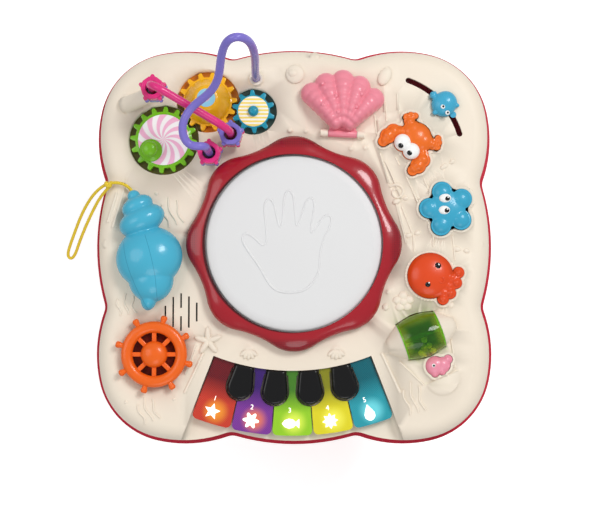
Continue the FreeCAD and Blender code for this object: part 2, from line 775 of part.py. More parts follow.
# tearOutline: a black key seen from above, a round front that narrows to a smaller round rear
def tearOutline(grow, angle):
    far, near = s.black_front - s.black_front_radius, s.black_rear
    big, small = s.black_front_radius + grow, s.black_rear_radius + grow
    lean = math.degrees(math.asin((big - small) / (far - near)))
    spin = angle - 90

    def on(middle, radius, turn):
        x, y = fanPoint(middle, angle)
        return polar(radius, spin + turn, x, y)

    sides = [on(far, big, -90 - lean), on(far, big, 90 + lean),
             on(near, small, 90 + lean), on(near, small, -90 - lean)]
    return [
        arcThrough(sides[0], on(far, big, 0), sides[1]),
        Part.LineSegment(Vector(*sides[1], 0), Vector(*sides[2], 0)),
        arcThrough(sides[2], on(near, small, 180), sides[3]),
        Part.LineSegment(Vector(*sides[3], 0), Vector(*sides[0], 0)),
    ]


def keyArm(width, z, height, angle):
    x, y = fanPoint((181 + s.black_rear) / 2, angle)
    return block(width, s.black_rear - 181, height, x, y, z, angle)


def pinBar(radius, angle, width):
    x, y = fanPoint(s.key_pin_place, angle)
    across = Vector(*polar(1, angle), 0)
    return cylinder(radius, width, x - across.x * width / 2, y - across.y * width / 2, pinZ, leaning(across))


def keys():
    notches = [slab(tearOutline(s.notch_gap, angle), keyBottom - 1, s.key_height + 2)
               for angle in blackAngles]
    for number, angle in enumerate(keyAngles, 1):
        plate = slab(moved(keyOutline(0), *aroundFan(angle)), keyBottom, s.key_height)
        near = [notch for notch, spot in zip(notches, blackAngles) if abs(spot - angle) < s.key_pitch]
        neck = slab(ringSector(180, 204, -40, 40), keyBottom - 1, s.key_height + 2)
        plate = join(cut(plate, neck, *near), keyArm(s.key_arm_width, keyBottom, s.key_height, angle))
        bore = pinBar(s.key_pin_radius + s.play, angle, s.key_arm_width + 8)
        keep(f"key_{number}", cut(plate, bore))
    under = cylinder(s.fan_top + 0.7, 30, s.fan_x, s.fan_y, keyTop)
    for number, angle in enumerate(blackAngles, 1):
        head = slab(tearOutline(0, angle), keyBottom, plateau + s.black_rise - keyBottom)
        head = bevelled(head, plateau + s.black_rise, 1.8)
        arm = keyArm(s.black_arm_width, keyBottom, s.key_height, angle)
        bore = pinBar(s.key_pin_radius + s.play, angle, s.black_arm_width + 8)
        rear = slab(ringSector(170, s.fan_top - 3, angle - 6, angle + 6), keyBottom - 1, 30)
        keep(f"black_key_{number}", cut(join(cut(head, under, rear), arm), bore))


def aroundFan(angle):
    turn = aboutZ(angle)
    centre = Vector(s.fan_x, s.fan_y, 0)
    shift = centre - turn.multVec(centre)
    return shift.x, shift.y, angle


def keyRail():
    beam = slab(ringSector(176, 180, -22.5, 22.5), pinZ - 4, deckUnder - pinZ + 4)
    lugs = []
    order = [(angle, s.key_arm_width) for angle in keyAngles]
    order += [(angle, s.black_arm_width) for angle in blackAngles]
    share = math.degrees((s.key_arm_width / 2 + s.gap + 1.6) / s.key_pin_place)
    for angle in keyAngles:
        for way in (-1, 1):
            x, y = fanPoint(183.9, angle + way * share)
            lugs.append(block(2.6, 8.2, deckUnder - pinZ + 2.6, x, y, pinZ - 2.6, angle + way * share))
    bars = [pinBar(s.key_pin_radius, angle, width + 3.6 + 2 * s.gap) for angle, width in order]
    keep("key_rail", join(beam, *lugs, *bars))


def rackButtons():
    pads, boards = [], []
    for name, (discs, x, y, angle) in buttons.items():
        rise = s.button_rise if name != "fish" else 3.4
        cap = capped(discs, deckUnder - s.gap - s.button_flange, plateau + rise - deckUnder + s.gap + s.button_flange,
                     2.6 if name != "fish" else 1.4, x, y, angle)
        foot = lobed(discs[:1], 2.2, deckUnder - s.gap - s.button_flange, s.button_flange, x, y, angle)
        stemEnd = deckUnder - s.gap - s.button_flange - stemLength
        keep(f"{name}_button", join(cap, foot, cylinder(stemRadius, stemLength, x, y, stemEnd)))
        turn, near, far = boardSpan[name]
        middle = polar((near + far) / 2, turn, x, y)
        boards.append(block(far - near + 8, 13, 1.6, *middle, deckUnder - postLength - 1.6, turn))
        pads.append(cylinder(4, stemEnd - s.button_travel - s.gap - deckUnder + postLength, x, y,
                             deckUnder - postLength))
    return pads, boards




# toothed: a gear blank with straight-sided teeth, one of them pointing along the given angle
def toothed(name, count, first):
    pitch = s.gear_module * count / 2
    root, tip = pitch - s.gear_module * 0.75, gearTip[name]
    body = doc.addObject("PartDesign::Body", "Gear")
    padIn(body, [circle(0, 0, root)], s.gear_thickness)
    foot, top = s.gear_module * 0.84, s.gear_module * 0.45
    edge = tip - s.gear_module * 0.22
    flank = [(root - 2, -foot), (edge, -top), (tip, -top * 0.5),
             (tip, top * 0.5), (edge, top), (root - 2, foot)]
    tooth = padIn(body, lines([(x, y, 0) for x, y in flank]), s.gear_thickness)
    patternIn(body, [tooth], count)
    pocket = pocketIn(body, [circle(0, 0, s.axle_radius + s.play)], s.gear_thickness - 2)
    pocket.Reversed = True
    x, y = gearPlace[name]
    return put(body, x, y, gearZ, aboutZ(first))


dishThick = 1.2
gearZ = wellFloor + dishThick + 0.6


def gearTrain():
    firsts = {"green": float(s.yellow_turn), "yellow": s.yellow_turn + 180 + 180 / s.yellow_teeth}
    step = 360 / s.yellow_teeth
    offset = (firsts["yellow"] - s.blue_turn + step / 2) % step - step / 2
    firsts["blue"] = s.blue_turn + 180 - offset * s.yellow_teeth / s.blue_teeth - 180 / s.blue_teeth
    top = gearZ + s.gear_thickness
    dishes, axles, covers = [], [], []
    for name, (x, y) in gearPlace.items():
        gear = toothed(name, teeth[name], firsts[name])
        if name == "blue":
            gear = join(gear, turned([(0, 0), (5, 0), (5, 3), (3, 5.5), (0, 6)], x, y, top))
        keep(f"{name}_gear", gear)
        dish = cylinder(wellRadius[name] - s.gap, dishThick, x, y, wellFloor)
        hole = cylinder(s.axle_radius + s.play, 4, x, y, wellFloor - 1)
        dishes.append(cut(dish, hole, *covers))
        covers.append(cylinder(wellRadius[name] + s.gap, 4, x, y, wellFloor - 1))
        axles.append(cylinder(s.axle_radius, top - 2 - s.gap - wellFloor + s.wall, x, y, wellFloor - s.wall))
    keep("gear_dishes", group(*dishes))
    keep("gear_axles", group(*axles))
    knobX, knobY = polar(s.knob_throw, 221, *gearPlace["green"])
    ball = s.knob_radius
    height = s.knob_height
    knob = [(0, 0), (11, 0), (11, 2.4), (6, 4), (5.2, 7), (ball, height - 6), (ball, height - 3.4),
            (ball * 0.55, height - 0.6), (0, height)]
    keep("green_knob", turned(knob, knobX, knobY, top))
    dome = [(22, 0), (21, 4), (14, s.dome_height - 4), (9.5, s.dome_height), (0, s.dome_height),
            (0, s.dome_height - 1.6), (8.9, s.dome_height - 1.6), (12.6, s.dome_height - 4.8),
            (19.3, 3.6), (20.4, 0)]
    keep("yellow_dome", turned(dome, *gearPlace["yellow"], top))


# bent: a round rod along straight runs joined by tangent arcs, each as large as its two runs allow
def bent(points, radius, share=0.45):
    spots = [Vector(*point) for point in points]
    runs = []
    last = spots[0]
    for before, here, after in zip(spots, spots[1:], spots[2:]):
        back, on = (before - here), (after - here)
        reach = share * min(back.Length, on.Length)
        back.normalize()
        on.normalize()
        start, end = here + back * reach, here + on * reach
        inward = (back + on).normalize()
        half = back.getAngle(on) / 2
        bend = reach * math.tan(half)
        centre = here + inward * (reach / math.cos(half))
        middle = centre - inward * bend
        runs.append(Part.LineSegment(last, start).toShape())
        runs.append(Part.Arc(start, middle, end).toShape())
        last = end
    runs.append(Part.LineSegment(last, spots[-1]).toShape())
    path = Part.Wire(runs)
    ring = Part.Wire(Part.Circle(spots[0], spots[1] - spots[0], radius).toShape())
    made = doc.addObject("Part::Feature", "Bent")
    made.Shape = path.makePipeShell([ring], True, False)
    short = made.Shape.Volume / (math.pi * float(radius) ** 2 * path.Length)
    print(f"bent rod: length {path.Length:.1f}, volume over section times length {short:.4f}")
    return made


purplePath = [(-36.7, 160.1, rodFoot), (-36.7, 160.1, plateau + 25), (-38.5, 168.5, plateau + 148),
              (-58.5, 169, plateau + 146), (-65.5, 145, plateau + 100), (-72.5, 130, plateau + 90),
              (-101, 114, plateau + 77), (-104, 88, plateau + 70), (-80.6, 85.6, plateau + 64),
              (-80.6, 85.6, rodFoot)]
pinkPath = [(*hornTop, plateau + 14), (*hornTop, plateau + 76), (-60.2, 103.5, plateau + 50),
            (-60.2, 103.5, rodFoot)]
beads = {
    "bead_1": (*hornTop, plateau + 29 + s.gap, "pink"),
    "bead_2": (-60.2, 103.5, plateau + 5 + s.gap, "purple"),
    "bead_3": (-80.6, 85.6, plateau + 5 + s.gap, "pink"),
}


def rodsAndBeads():
    keep("purple_rod", bent(purplePath, s.rod_radius))
    keep("pink_rod", bent(pinkPath, s.rod_radius, 0.25))
    half = s.bead_height / 2
    for name, (x, y, z, upper) in beads.items():
        colours = ["purple", "pink"] if upper == "pink" else ["pink", "purple"]
        for level, colour in enumerate(colours):
            base = z + half * level
            ring = prism(10, s.bead_radius - 1, half, x, y, base)
            nubs = [prism(6, 2.2, half - 5, *polar(s.bead_radius - 0.6, 72 * k + 18, x, y), base + 2.5)
                    for k in range(5)]
            keep(f"{name}_{colour}", cut(join(ring, *nubs), cylinder(s.bead_bore, 60, x, y, z - 20)))


def slider():
    x, y = polar(s.slot_radius, s.slider_rest, s.slot_centre, s.slot_centre)
    discs = [(0, 0, 12), (1.5, 1.5, 11.5), (-10, 9, 3.6), (9, -10, 3)]
    knob = capped(discs, plateau + s.gap, 10, 3, x, y)
    stem = cylinder(s.slot_width / 2 - s.gap, s.wall + 2, x, y, deckUnder - 1.5)
    shoe = cylinder(6, 2, x, y, deckUnder - s.gap - 2)
    keep("slider_fish", join(knob, stem, shoe))
    outer = slab(slotOutline(17, s.slot_low, s.slot_high), deckUnder - 6, 6)
    inner = slab(slotOutline(13, s.slot_low, s.slot_high), deckUnder - 4.5, 6)
    keep("slider_channel", cut(outer, inner))


def along(offset):
    x, y = polar(offset, s.roller_turn, s.roller_x, s.roller_y)
    return x, y, rollerZ, leaning(rollerAxis)


# rollerSkin: the barrel's half section, grown all round by the given amount
def rollerSkin(grow, half):
    end, mid = s.roller_end_radius + grow, s.roller_mid_radius + grow
    ledge = end * 0.45 + mid * 0.55 + 0.4
    return [(0, -half), (end, -half), (ledge, -half / 2), (mid, -3),
            (mid, 3), (ledge, half / 2), (end, half), (0, half)]


def roller():
    half = s.roller_length / 2
    end, mid, wall = s.roller_end_radius, s.roller_mid_radius, s.roller_wall
    skin = rollerSkin(0, half)
    tube = s.axle_radius - 1
    room = [(tube + wall, wall - half), (end - wall, wall - half), (mid - wall, -3), (mid - wall, 3),
            (end - wall, half - wall), (tube + wall, half - wall)]
    barrel = cut(turned(skin), turned(room), cylinder(tube + s.play, 80, 0, 0, -40))
    keep("roller_barrel", put(group(barrel), *along(0)))
    keep("roller_axle", cylinder(tube, 50, *along(-25)))
    seeds = []
    for k, lift in enumerate((0, 3, -6, 6, -3, 0, 3)):
        seeds.append(prism(6, 2.8, 5, *polar(16.6 - 0.22 * abs(lift), 195 + 26 * k), lift - 2.5))
    keep("rattle_beads", put(group(*seeds), *along(0)))


def shipWheel():
    base = plateau + s.wheel_lift
    thick = s.wheel_thickness
    inner, outer = s.wheel_hole, s.wheel_radius
    rim = turned([(inner, 1.5), (inner + 2, 0), (outer - 1.5, 0), (outer, 2), (outer, thick - 2.5),
                  (outer - 2.5, thick), (inner + 2.5, thick), (inner, thick - 2.5)], s.wheel_x, s.wheel_y, base)
    hubLow = plateau + 0.8 + s.gap
    hub = turned([(0, 0), (s.wheel_hub, 0), (s.wheel_hub, 6), (s.wheel_hub - 3, 10), (5, 12.5), (0, 13)],
                 s.wheel_x, s.wheel_y, hubLow)
    spokes, grips = [], []
    middle = (inner + s.wheel_hub) / 2
    for k in range(int(s.spoke_count)):
        angle = 360 / s.spoke_count * k
        x, y = polar(middle, angle, s.wheel_x, s.wheel_y)
        spokes.append(block(inner - s.wheel_hub + 4, s.spoke_width, 4.5, x, y, base + 1, angle))
        grip = Vector(*polar(1, angle + 29.6), 0)
        x, y = polar(outer - 2, angle + 29.6, s.wheel_x, s.wheel_y)
        grips.append(cone(2.3, 3.2, 8.5, x, y, base + thick / 2, leaning(grip)))
    bore = cylinder(4 + s.play, 9.5, s.wheel_x, s.wheel_y, hubLow - 1)
    keep("ship_wheel", cut(join(rim, hub, *spokes, *grips), bore))
    dish = cylinder(26, 1.8, s.wheel_x, s.wheel_y, plateau - 1)
    keep("wheel_dish", join(dish, cylinder(4, 9, s.wheel_x, s.wheel_y, plateau)))


lobes = [(40, 57), (21, 59), (2, 59.5), (-17, 56.5), (-39, 53)]


# clam: the lid's solid form, drawn about its hinge, smaller all round by the given amount
def clam(shrink):
    tips = [polar(length - s.lobe_radius, 90 + turn, 0, 4) for turn, length in lobes]
    low = plateau + s.gap
    tall = s.lid_height + 6
    side = 15 - shrink
    fan = [(-side, 5 + shrink, 0), (-39 + shrink, 29, 0)] + [(x, y, 0) for x, y in tips]
    fan += [(37 - shrink, 25, 0), (side, 5 + shrink, 0)]
    scallops = [cylinder(s.lobe_radius - shrink, tall, x, y, low) for x, y in tips]
    plan = join(slab(lines(fan), low, tall), *scallops)
    ridges = []
    for turn, length in lobes:
        away = Vector(*polar(length - 4, 90 + turn), 3.5)
        ridges.append(cone(9 - shrink, 19 - shrink, away.Length, 0, 4, low + 1, leaning(away)))
    ridges.append(slab(lines(fan), low, 5))
    rise = s.lid_height
    reach = s.lid_length + 12
    bow = (reach**2 / 4 + (rise - 3) ** 2) / (2 * (rise - 3))
    arch = cylinder(bow - shrink, 120, -60, reach / 2 - 3, low + rise - bow, leaning(Vector(1, 0, 0)))
    return meet(plan, join(*ridges), arch)


def shellLid():
    low = plateau + s.gap
    barrelZ = plateau + s.hinge_rise
    radius = s.hinge_radius
    barrel = cylinder(radius, s.hinge_length, -s.hinge_length / 2, 0, barrelZ, leaning(Vector(1, 0, 0)))
    neck = block(s.hinge_length - 1, 8, 4, 0, 4, plateau + 1.2)
    bore = cylinder(1.6 + s.play, 60, -30, 0, barrelZ, leaning(Vector(1, 0, 0)))
    inner = clam(s.lid_wall)
    behind = block(90, 8, 30, 0, 0.4, low + 8)
    lid = cut(join(cut(clam(0), inner, behind), barrel, neck), bore)
    keep("shell_lid", put(group(lid), s.lid_x, s.lid_y, 0, aboutZ(s.lid_turn)))
    x, y = polar(-21, s.lid_turn, s.lid_x, s.lid_y)
    keep("shell_hinge_pin", cylinder(1.6, 42, x, y, barrelZ, leaning(Vector(*polar(1, s.lid_turn), 0))))
    mirror = cylinder(19, 1.2, *polar(34, 90 + s.lid_turn, s.lid_x, s.lid_y), plateau)
    keep("shell_mirror", mirror)


strapPath = [(-153.4, 46.5, plateau + 4.6), (-158.5, 56.5, plateau + 6), (-177, 60, plateau + 4),
             (-193, 51, plateau - 4), (-207, 33, plateau - 17), (-219, 9, plateau - 32),
             (-227, -10, plateau - 41), (-220, -13, plateau - 42), (-211, 8, plateau - 31),
             (-199, 30, plateau - 18), (-187, 48, plateau - 5), (-178, 55, plateau + 2)]


def conch():
    low = plateau + s.gap
    wide = s.conch_radius
    whorls = [(0, -34), (12, -34), (24, -24), (wide - 1.5, -10), (wide, 2), (wide - 3, 12), (23, 20), (24.3, 27),
              (21.5, 35), (15.5, 40), (16, 46), (12, 53), (6, 60), (5, 63), (0, 63)]
    upright = Rotation(Vector(0, 0, 1), float(s.conch_turn)).multiply(Rotation(Vector(1, 0, 0), -90))
    shell = turned(whorls, s.conch_x, s.conch_y, low, upright)
    tail = Vector(-5, -31, 0)
    snout = cone(25.5, 3, tail.Length, s.conch_x + 3.5, s.conch_y - 16, low, leaning(tail))
    ground = slab(lines([(-260, -160, 0), (0, -160, 0), (0, 160, 0), (-260, 160, 0)]), low - 60, 60)
    keep("conch", cut(join(shell, snout), ground))
    cord = bent(strapPath, 1.5)
    knot = prism(8, 3, 6, -179, 57.5, plateau + 0.5)
    keep("strap", join(cord, knot))


def hiddenPieces(pads, boards):
    radius = s.speaker_radius
    speakerSection = [(0, -14), (12, -14), (12, -6), (radius - 3, -2), (radius, -2), (radius, 0), (radius - 3, 0),
                      (6, -4), (0, -4)]
    keep("speaker", turned(speakerSection, s.speaker_x, s.speaker_y, deckUnder))
    keep("contact_domes", group(*pads))
    main = block(112, 68, 1.6, 0, -62.5, casingFloor + boardRise)
    keep("circuit_boards", group(main, *boards))
    cells = []
    for k in range(int(s.battery_count)):
        y = s.battery_y + (k - (s.battery_count - 1) / 2) * (2 * s.battery_radius + 1)
        z = s.leg_height + 2.5 + s.gap + s.battery_radius
        cell = cylinder(s.battery_radius, s.battery_length - 1, -s.battery_length / 2, y, z, leaning(Vector(1, 0, 0)))
        nub = cylinder(2.7, 1, s.battery_length / 2 - 1, y, z, leaning(Vector(1, 0, 0)))
        cells.append(join(cell, nub))
    keep("batteries", group(*cells))
    wide = s.battery_length + 18 - 2 * s.gap
    deep = 2 * s.battery_radius * s.battery_count + 12 - 2 * s.gap
    keep("battery_door", block(wide, deep, 2.5, 0, s.battery_y, s.leg_height))
    screw = [(0, 1), (3.1, 1), (3.1, 3), (1.7, 3), (1.7, s.casing_depth + 9), (0, s.casing_depth + 9)]
    keep("casing_screws", group(*[turned(screw, x, y, s.leg_height) for x, y in screwPlaces]))
    thumb = block(8, switchWidth, s.wall + 2.2, -switchTravel / 2, switchY, s.leg_height - 1.5)
    flange = block(switchSlot + 6, 8, 1.6, -switchTravel / 2, switchY, casingFloor + s.gap)
    keep("power_switch", join(thumb, flange))


def eyes():
    _, x, y, angle = buttons["crab"]
    whites = capped(eyeDiscs, plateau + 2, s.button_rise + 1.2, 1.5, x, y, angle)
    keep("crab_eyes", whites)
    hollow = lobed(eyeDiscs, 0, plateau + 2, s.button_rise + 5, x, y, angle)
    keep("crab_button", cut(parts["crab_button"], hollow))


deckCasing()
baseCasing()
legs()
domes = drum()
keys()
keyRail()
pads, boards = rackButtons()
eyes()
gearTrain()
rodsAndBeads()
slider()
roller()
shipWheel()
shellLid()
conch()
hiddenPieces(domes + pads, boards)
doc.recompute()

faults = [f"{thing.Name} {thing.State}" for thing in doc.Objects if {"Invalid", "Error"} & set(thing.State)]
for name, thing in parts.items():
    if thing.Shape.isNull() or not thing.Shape.isValid() or not thing.Shape.Solids:
        faults.append(f"{name} has no valid solid")
if faults:
    raise RuntimeError("; ".join(faults))
os.makedirs("parts", exist_ok=True)
for name, thing in parts.items():
    thing.Shape.exportStep(f"parts/{name}.step")
print(f"{len(parts)} sub-parts written")
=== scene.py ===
import bpy
import bmesh
import math
from mathutils.bvhtree import BVHTree
from mathutils import Matrix, Vector


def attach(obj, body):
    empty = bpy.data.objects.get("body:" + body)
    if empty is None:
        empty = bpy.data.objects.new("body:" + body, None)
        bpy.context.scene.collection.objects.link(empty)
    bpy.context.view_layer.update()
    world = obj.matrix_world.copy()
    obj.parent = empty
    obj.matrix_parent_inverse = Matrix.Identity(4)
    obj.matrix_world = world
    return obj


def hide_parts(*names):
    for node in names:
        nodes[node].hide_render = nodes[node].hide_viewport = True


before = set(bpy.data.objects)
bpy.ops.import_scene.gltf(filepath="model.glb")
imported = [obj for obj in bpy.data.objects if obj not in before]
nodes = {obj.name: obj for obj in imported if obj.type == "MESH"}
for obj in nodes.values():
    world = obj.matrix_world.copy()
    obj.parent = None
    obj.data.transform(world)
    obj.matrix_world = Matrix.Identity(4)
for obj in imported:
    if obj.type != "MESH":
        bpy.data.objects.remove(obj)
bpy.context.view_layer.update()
mm = 0.001
plateau = 267.0
keyTop = 263.0


def fromScreen(red, green, blue):  # a screen colour of 0 to 255 as linear light
    out = []
    for value in (red, green, blue):
        value /= 255
        out.append(value / 12.92 if value < 0.04045 else ((value + 0.055) / 1.055) ** 2.4)
    return (*out, 1.0)


def polar(radius, angle, x=0.0, y=0.0):
    return x + radius * math.cos(math.radians(angle)), y + radius * math.sin(math.radians(angle))


# camera: as the photograph was taken, almost straight down
view = {"place": (5.8, -73.8, 1448.4), "aim": (0.0, 0.0521, -0.99864), "lens": 73.68}
cameraData = bpy.data.cameras.new("tableCamera")
cameraData.lens = view["lens"]
cameraData.sensor_width = 36
cameraData.clip_start = 0.01
camera = bpy.data.objects.new("tableCamera", cameraData)
camera.location = [v * mm for v in view["place"]]
camera.rotation_euler = Vector(view["aim"]).to_track_quat("-Z", "Y").to_euler()
bpy.context.scene.collection.objects.link(camera)
bpy.context.scene.camera = camera


def groupInput(tree, name, kind, value=None):
    socket = tree.interface.new_socket(name, in_out="INPUT", socket_type=kind)
    if value is not None:
        socket.default_value = value
    return socket


# mouldedGrain: the faint tooth and uneven gloss of moulded plastic
def makeMouldedGrain():
    tree = bpy.data.node_groups.new("mouldedGrain", "ShaderNodeTree")
    groupInput(tree, "Tone", "NodeSocketColor", (0.8, 0.8, 0.8, 1))
    groupInput(tree, "Variation", "NodeSocketFloat", 0.06)
    groupInput(tree, "Roughness", "NodeSocketFloat", 0.4)
    groupInput(tree, "Grain", "NodeSocketFloat", 900.0)
    for name, kind in (("Tone", "NodeSocketColor"), ("Roughness", "NodeSocketFloat"), ("Height", "NodeSocketFloat")):
        tree.interface.new_socket(name, in_out="OUTPUT", socket_type=kind)
    add, link = tree.nodes.new, tree.links.new
    start, end = add("NodeGroupInput"), add("NodeGroupOutput")
    place = add("ShaderNodeTexCoord")
    broad, fine = add("ShaderNodeTexNoise"), add("ShaderNodeTexNoise")
    broad.inputs["Scale"].default_value = 22
    broad.inputs["Detail"].default_value = 3
    fine.inputs["Detail"].default_value = 4
    link(place.outputs["Object"], broad.inputs["Vector"])
    link(place.outputs["Object"], fine.inputs["Vector"])
    link(start.outputs["Grain"], fine.inputs["Scale"])
    spread = add("ShaderNodeMapRange")
    spread.inputs["From Min"].default_value = 0.3
    spread.inputs["From Max"].default_value = 0.7
    link(broad.outputs["Fac"], spread.inputs["Value"])
    weight = add("ShaderNodeMath")
    weight.operation = "MULTIPLY"
    link(spread.outputs["Result"], weight.inputs[0])
    link(start.outputs["Variation"], weight.inputs[1])
    darker = add("ShaderNodeMix")
    darker.data_type = "RGBA"
    darker.blend_type = "MULTIPLY"
    darker.inputs[7].default_value = (0.55, 0.5, 0.5, 1)
    link(weight.outputs[0], darker.inputs[0])
    link(start.outputs["Tone"], darker.inputs[6])
    link(darker.outputs[2], end.inputs["Tone"])
    uneven = add("ShaderNodeMath")
    uneven.operation = "MULTIPLY_ADD"
    uneven.inputs[1].default_value = 0.12
    link(fine.outputs["Fac"], uneven.inputs[0])
    link(start.outputs["Roughness"], uneven.inputs[2])
    link(uneven.outputs[0], end.inputs["Roughness"])
    link(fine.outputs["Fac"], end.inputs["Height"])
    return tree


mouldedGrain = makeMouldedGrain()


# plastic: a moulded plastic of one colour, with options for gloss, see-through depth and a drawn pattern
def plastic(name, screen, rough=0.3, grain=900, bump=0.03, variation=0.06, coat=0.0, clear=0.0, glow=0.0, pattern=None):
    material = bpy.data.materials.new(name)
    material.use_nodes = True
    tree = material.node_tree
    surface = tree.nodes["Principled BSDF"]
    grainNode = tree.nodes.new("ShaderNodeGroup")
    grainNode.node_tree = mouldedGrain
    grainNode.inputs["Tone"].default_value = fromScreen(*screen)
    grainNode.inputs["Variation"].default_value = variation
    grainNode.inputs["Roughness"].default_value = rough - 0.06
    grainNode.inputs["Grain"].default_value = grain
    if pattern:
        tree.links.new(pattern(tree, fromScreen(*screen)), grainNode.inputs["Tone"])
    tree.links.new(grainNode.outputs["Tone"], surface.inputs["Base Color"])
    tree.links.new(grainNode.outputs["Roughness"], surface.inputs["Roughness"])
    bumpNode = tree.nodes.new("ShaderNodeBump")
    bumpNode.inputs["Strength"].default_value = bump
    bumpNode.inputs["Distance"].default_value = 0.0004
    tree.links.new(grainNode.outputs["Height"], bumpNode.inputs["Height"])
    tree.links.new(bumpNode.outputs["Normal"], surface.inputs["Normal"])
    surface.inputs["Coat Weight"].default_value = coat * 0.6
    surface.inputs["Specular IOR Level"].default_value = 0.3
    surface.inputs["Coat Roughness"].default_value = 0.08
    surface.inputs["Transmission Weight"].default_value = clear
    if glow:
        tree.links.new(grainNode.outputs["Tone"], surface.inputs["Emission Color"])
        surface.inputs["Emission Strength"].default_value = glow
    return material


def linkPiece(name, mesh, material, body, replaced=()):
    piece = bpy.data.objects.new(name, mesh)
    bpy.context.scene.collection.objects.link(piece)
    mesh.materials.clear()
    for item in material if isinstance(material, (list, tuple)) else [material]:
        mesh.materials.append(item)
    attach(piece, body)
    if replaced:
        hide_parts(*replaced)
    return piece


def smoothByAngle(mesh, degrees):
    mesh.shade_smooth()
    mesh.set_sharp_from_angle(angle=math.radians(degrees))


def meshFrom(builder, smooth=35):
    mesh = bpy.data.meshes.new("made")
    builder.to_mesh(mesh)
    builder.free()
    smoothByAngle(mesh, smooth)
    return mesh


def copyOf(*names):  # the CAD nodes' surfaces joined up into one mesh
    builder = bmesh.new()
    for name in names:
        builder.from_mesh(nodes[name].data)
    bmesh.ops.remove_doubles(builder, verts=builder.verts, dist=2e-6)
    bmesh.ops.dissolve_degenerate(builder, edges=builder.edges, dist=1e-6)
    return builder


def applied(mesh, *modifiers):  # (kind, settings) pairs, applied in order
    thing = bpy.data.objects.new("work", mesh)
    bpy.context.scene.collection.objects.link(thing)
    for kind, settings in modifiers:
        modifier = thing.modifiers.new(kind, kind)
        for key, value in settings.items():
            setattr(modifier, key, value)
    bpy.context.view_layer.update()
    made = bpy.data.meshes.new_from_object(thing.evaluated_get(bpy.context.evaluated_depsgraph_get()))
    bpy.data.objects.remove(thing)
    return made


def softened(mesh, voxel, rounds=6, strength=0.5):
    made = applied(mesh, ("REMESH", {"mode": "VOXEL", "voxel_size": voxel * mm, "adaptivity": 0.0}),
                   ("SMOOTH", {"factor": strength, "iterations": rounds}))
    made.shade_smooth()
    return made


def cutBelow(mesh, height):  # flattens what reaches under a height
    for corner in mesh.vertices:
        corner.co.z = max(corner.co.z, height * mm)
    return mesh


def lathe(profile, x, y, z, segments=64, turn=None, smooth=35):
    builder = bmesh.new()
    rings = []
    for radius, height in profile:
        if radius < 1e-6:
            rings.append([builder.verts.new((0, 0, height * mm))])
        else:
            ring = [builder.verts.new((*[v * mm for v in polar(radius, 360 * k / segments)], height * mm))
                    for k in range(segments)]
            rings.append(ring)
    for low, high in zip(rings, rings[1:]):
        for k in range(segments):
            after = (k + 1) % segments
            corners = [low[k % len(low)], low[after % len(low)], high[after % len(high)], high[k % len(high)]]
            corners = list(dict.fromkeys(corners))
            if len(corners) > 2:
                builder.faces.new(corners)
    bmesh.ops.recalc_face_normals(builder, faces=builder.faces)
    spot = Matrix.Translation(Vector((x, y, z)) * mm)
    if turn is not None:
        spot = spot @ turn
    bmesh.ops.transform(builder, matrix=spot, verts=builder.verts)
    return meshFrom(builder, smooth)


def blobs(lumps, voxel=0.7, rounds=6, strength=0.5):  # (x, y, z, rx, ry, rz, turn) soft lumps run together
    builder = bmesh.new()
    for x, y, z, rx, ry, rz, turn in lumps:
        spot = Matrix.Translation(Vector((x, y, z)) * mm) @ Matrix.Rotation(math.radians(turn), 4, "Z")
        spot = spot @ Matrix.Diagonal((rx * mm, ry * mm, rz * mm, 1))
        bmesh.ops.create_icosphere(builder, subdivisions=4, radius=1, matrix=spot)
    mesh = bpy.data.meshes.new("lumps")
    builder.to_mesh(mesh)
    builder.free()
    return softened(mesh, voxel, rounds, strength)


def plate(outline, low, high, bevel=0.0, smooth=35):  # an outline in mm made a flat plate
    builder = bmesh.new()
    face = builder.faces.new([builder.verts.new((px * mm, py * mm, low * mm)) for px, py in outline])
    grown = bmesh.ops.extrude_face_region(builder, geom=[face])
    top = [item for item in grown["geom"] if isinstance(item, bmesh.types.BMVert)]
    bmesh.ops.translate(builder, verts=top, vec=(0, 0, (high - low) * mm))
    if bevel:
        rim = [edge for edge in builder.edges if all(abs(v.co.z - high * mm) < 1e-7 for v in edge.verts)]
        bmesh.ops.bevel(builder, geom=rim, offset=bevel * mm, segments=3, profile=0.6, affect="EDGES")
    bmesh.ops.recalc_face_normals(builder, faces=builder.faces)
    return meshFrom(builder, smooth)


def eyeBall(x, y, z, rx, ry, rz, turn=0.0):
    builder = bmesh.new()
    spot = Matrix.Translation(Vector((x, y, z)) * mm) @ Matrix.Rotation(math.radians(turn), 4, "Z")
    bmesh.ops.create_uvsphere(builder, u_segments=40, v_segments=24, radius=1,
                              matrix=spot @ Matrix.Diagonal((rx * mm, ry * mm, rz * mm, 1)))
    return meshFrom(builder, 80)


def tube(points, radius, closed=False, order=3, sides=6):
    data = bpy.data.curves.new("line", "CURVE")
    data.dimensions = "3D"
    data.bevel_depth = radius * mm
    data.bevel_resolution = sides
    data.resolution_u = 16
    spline = data.splines.new("NURBS")
    spline.points.add(len(points) - 1)
    for point, spot in zip(spline.points, points):
        point.co = (*[v * mm for v in spot], 1)
    spline.order_u = order
    spline.use_cyclic_u = closed
    spline.use_endpoint_u = not closed
    data.use_fill_caps = True
    holder = bpy.data.objects.new("line", data)
    bpy.context.scene.collection.objects.link(holder)
    bpy.context.view_layer.update()
    mesh = bpy.data.meshes.new_from_object(holder.evaluated_get(bpy.context.evaluated_depsgraph_get()))
    bpy.data.objects.remove(holder)
    mesh.shade_smooth()
    return mesh


def joined(*meshes, smooth=35):
    builder = bmesh.new()
    for mesh in meshes:
        builder.from_mesh(mesh)
    return meshFrom(builder, smooth)


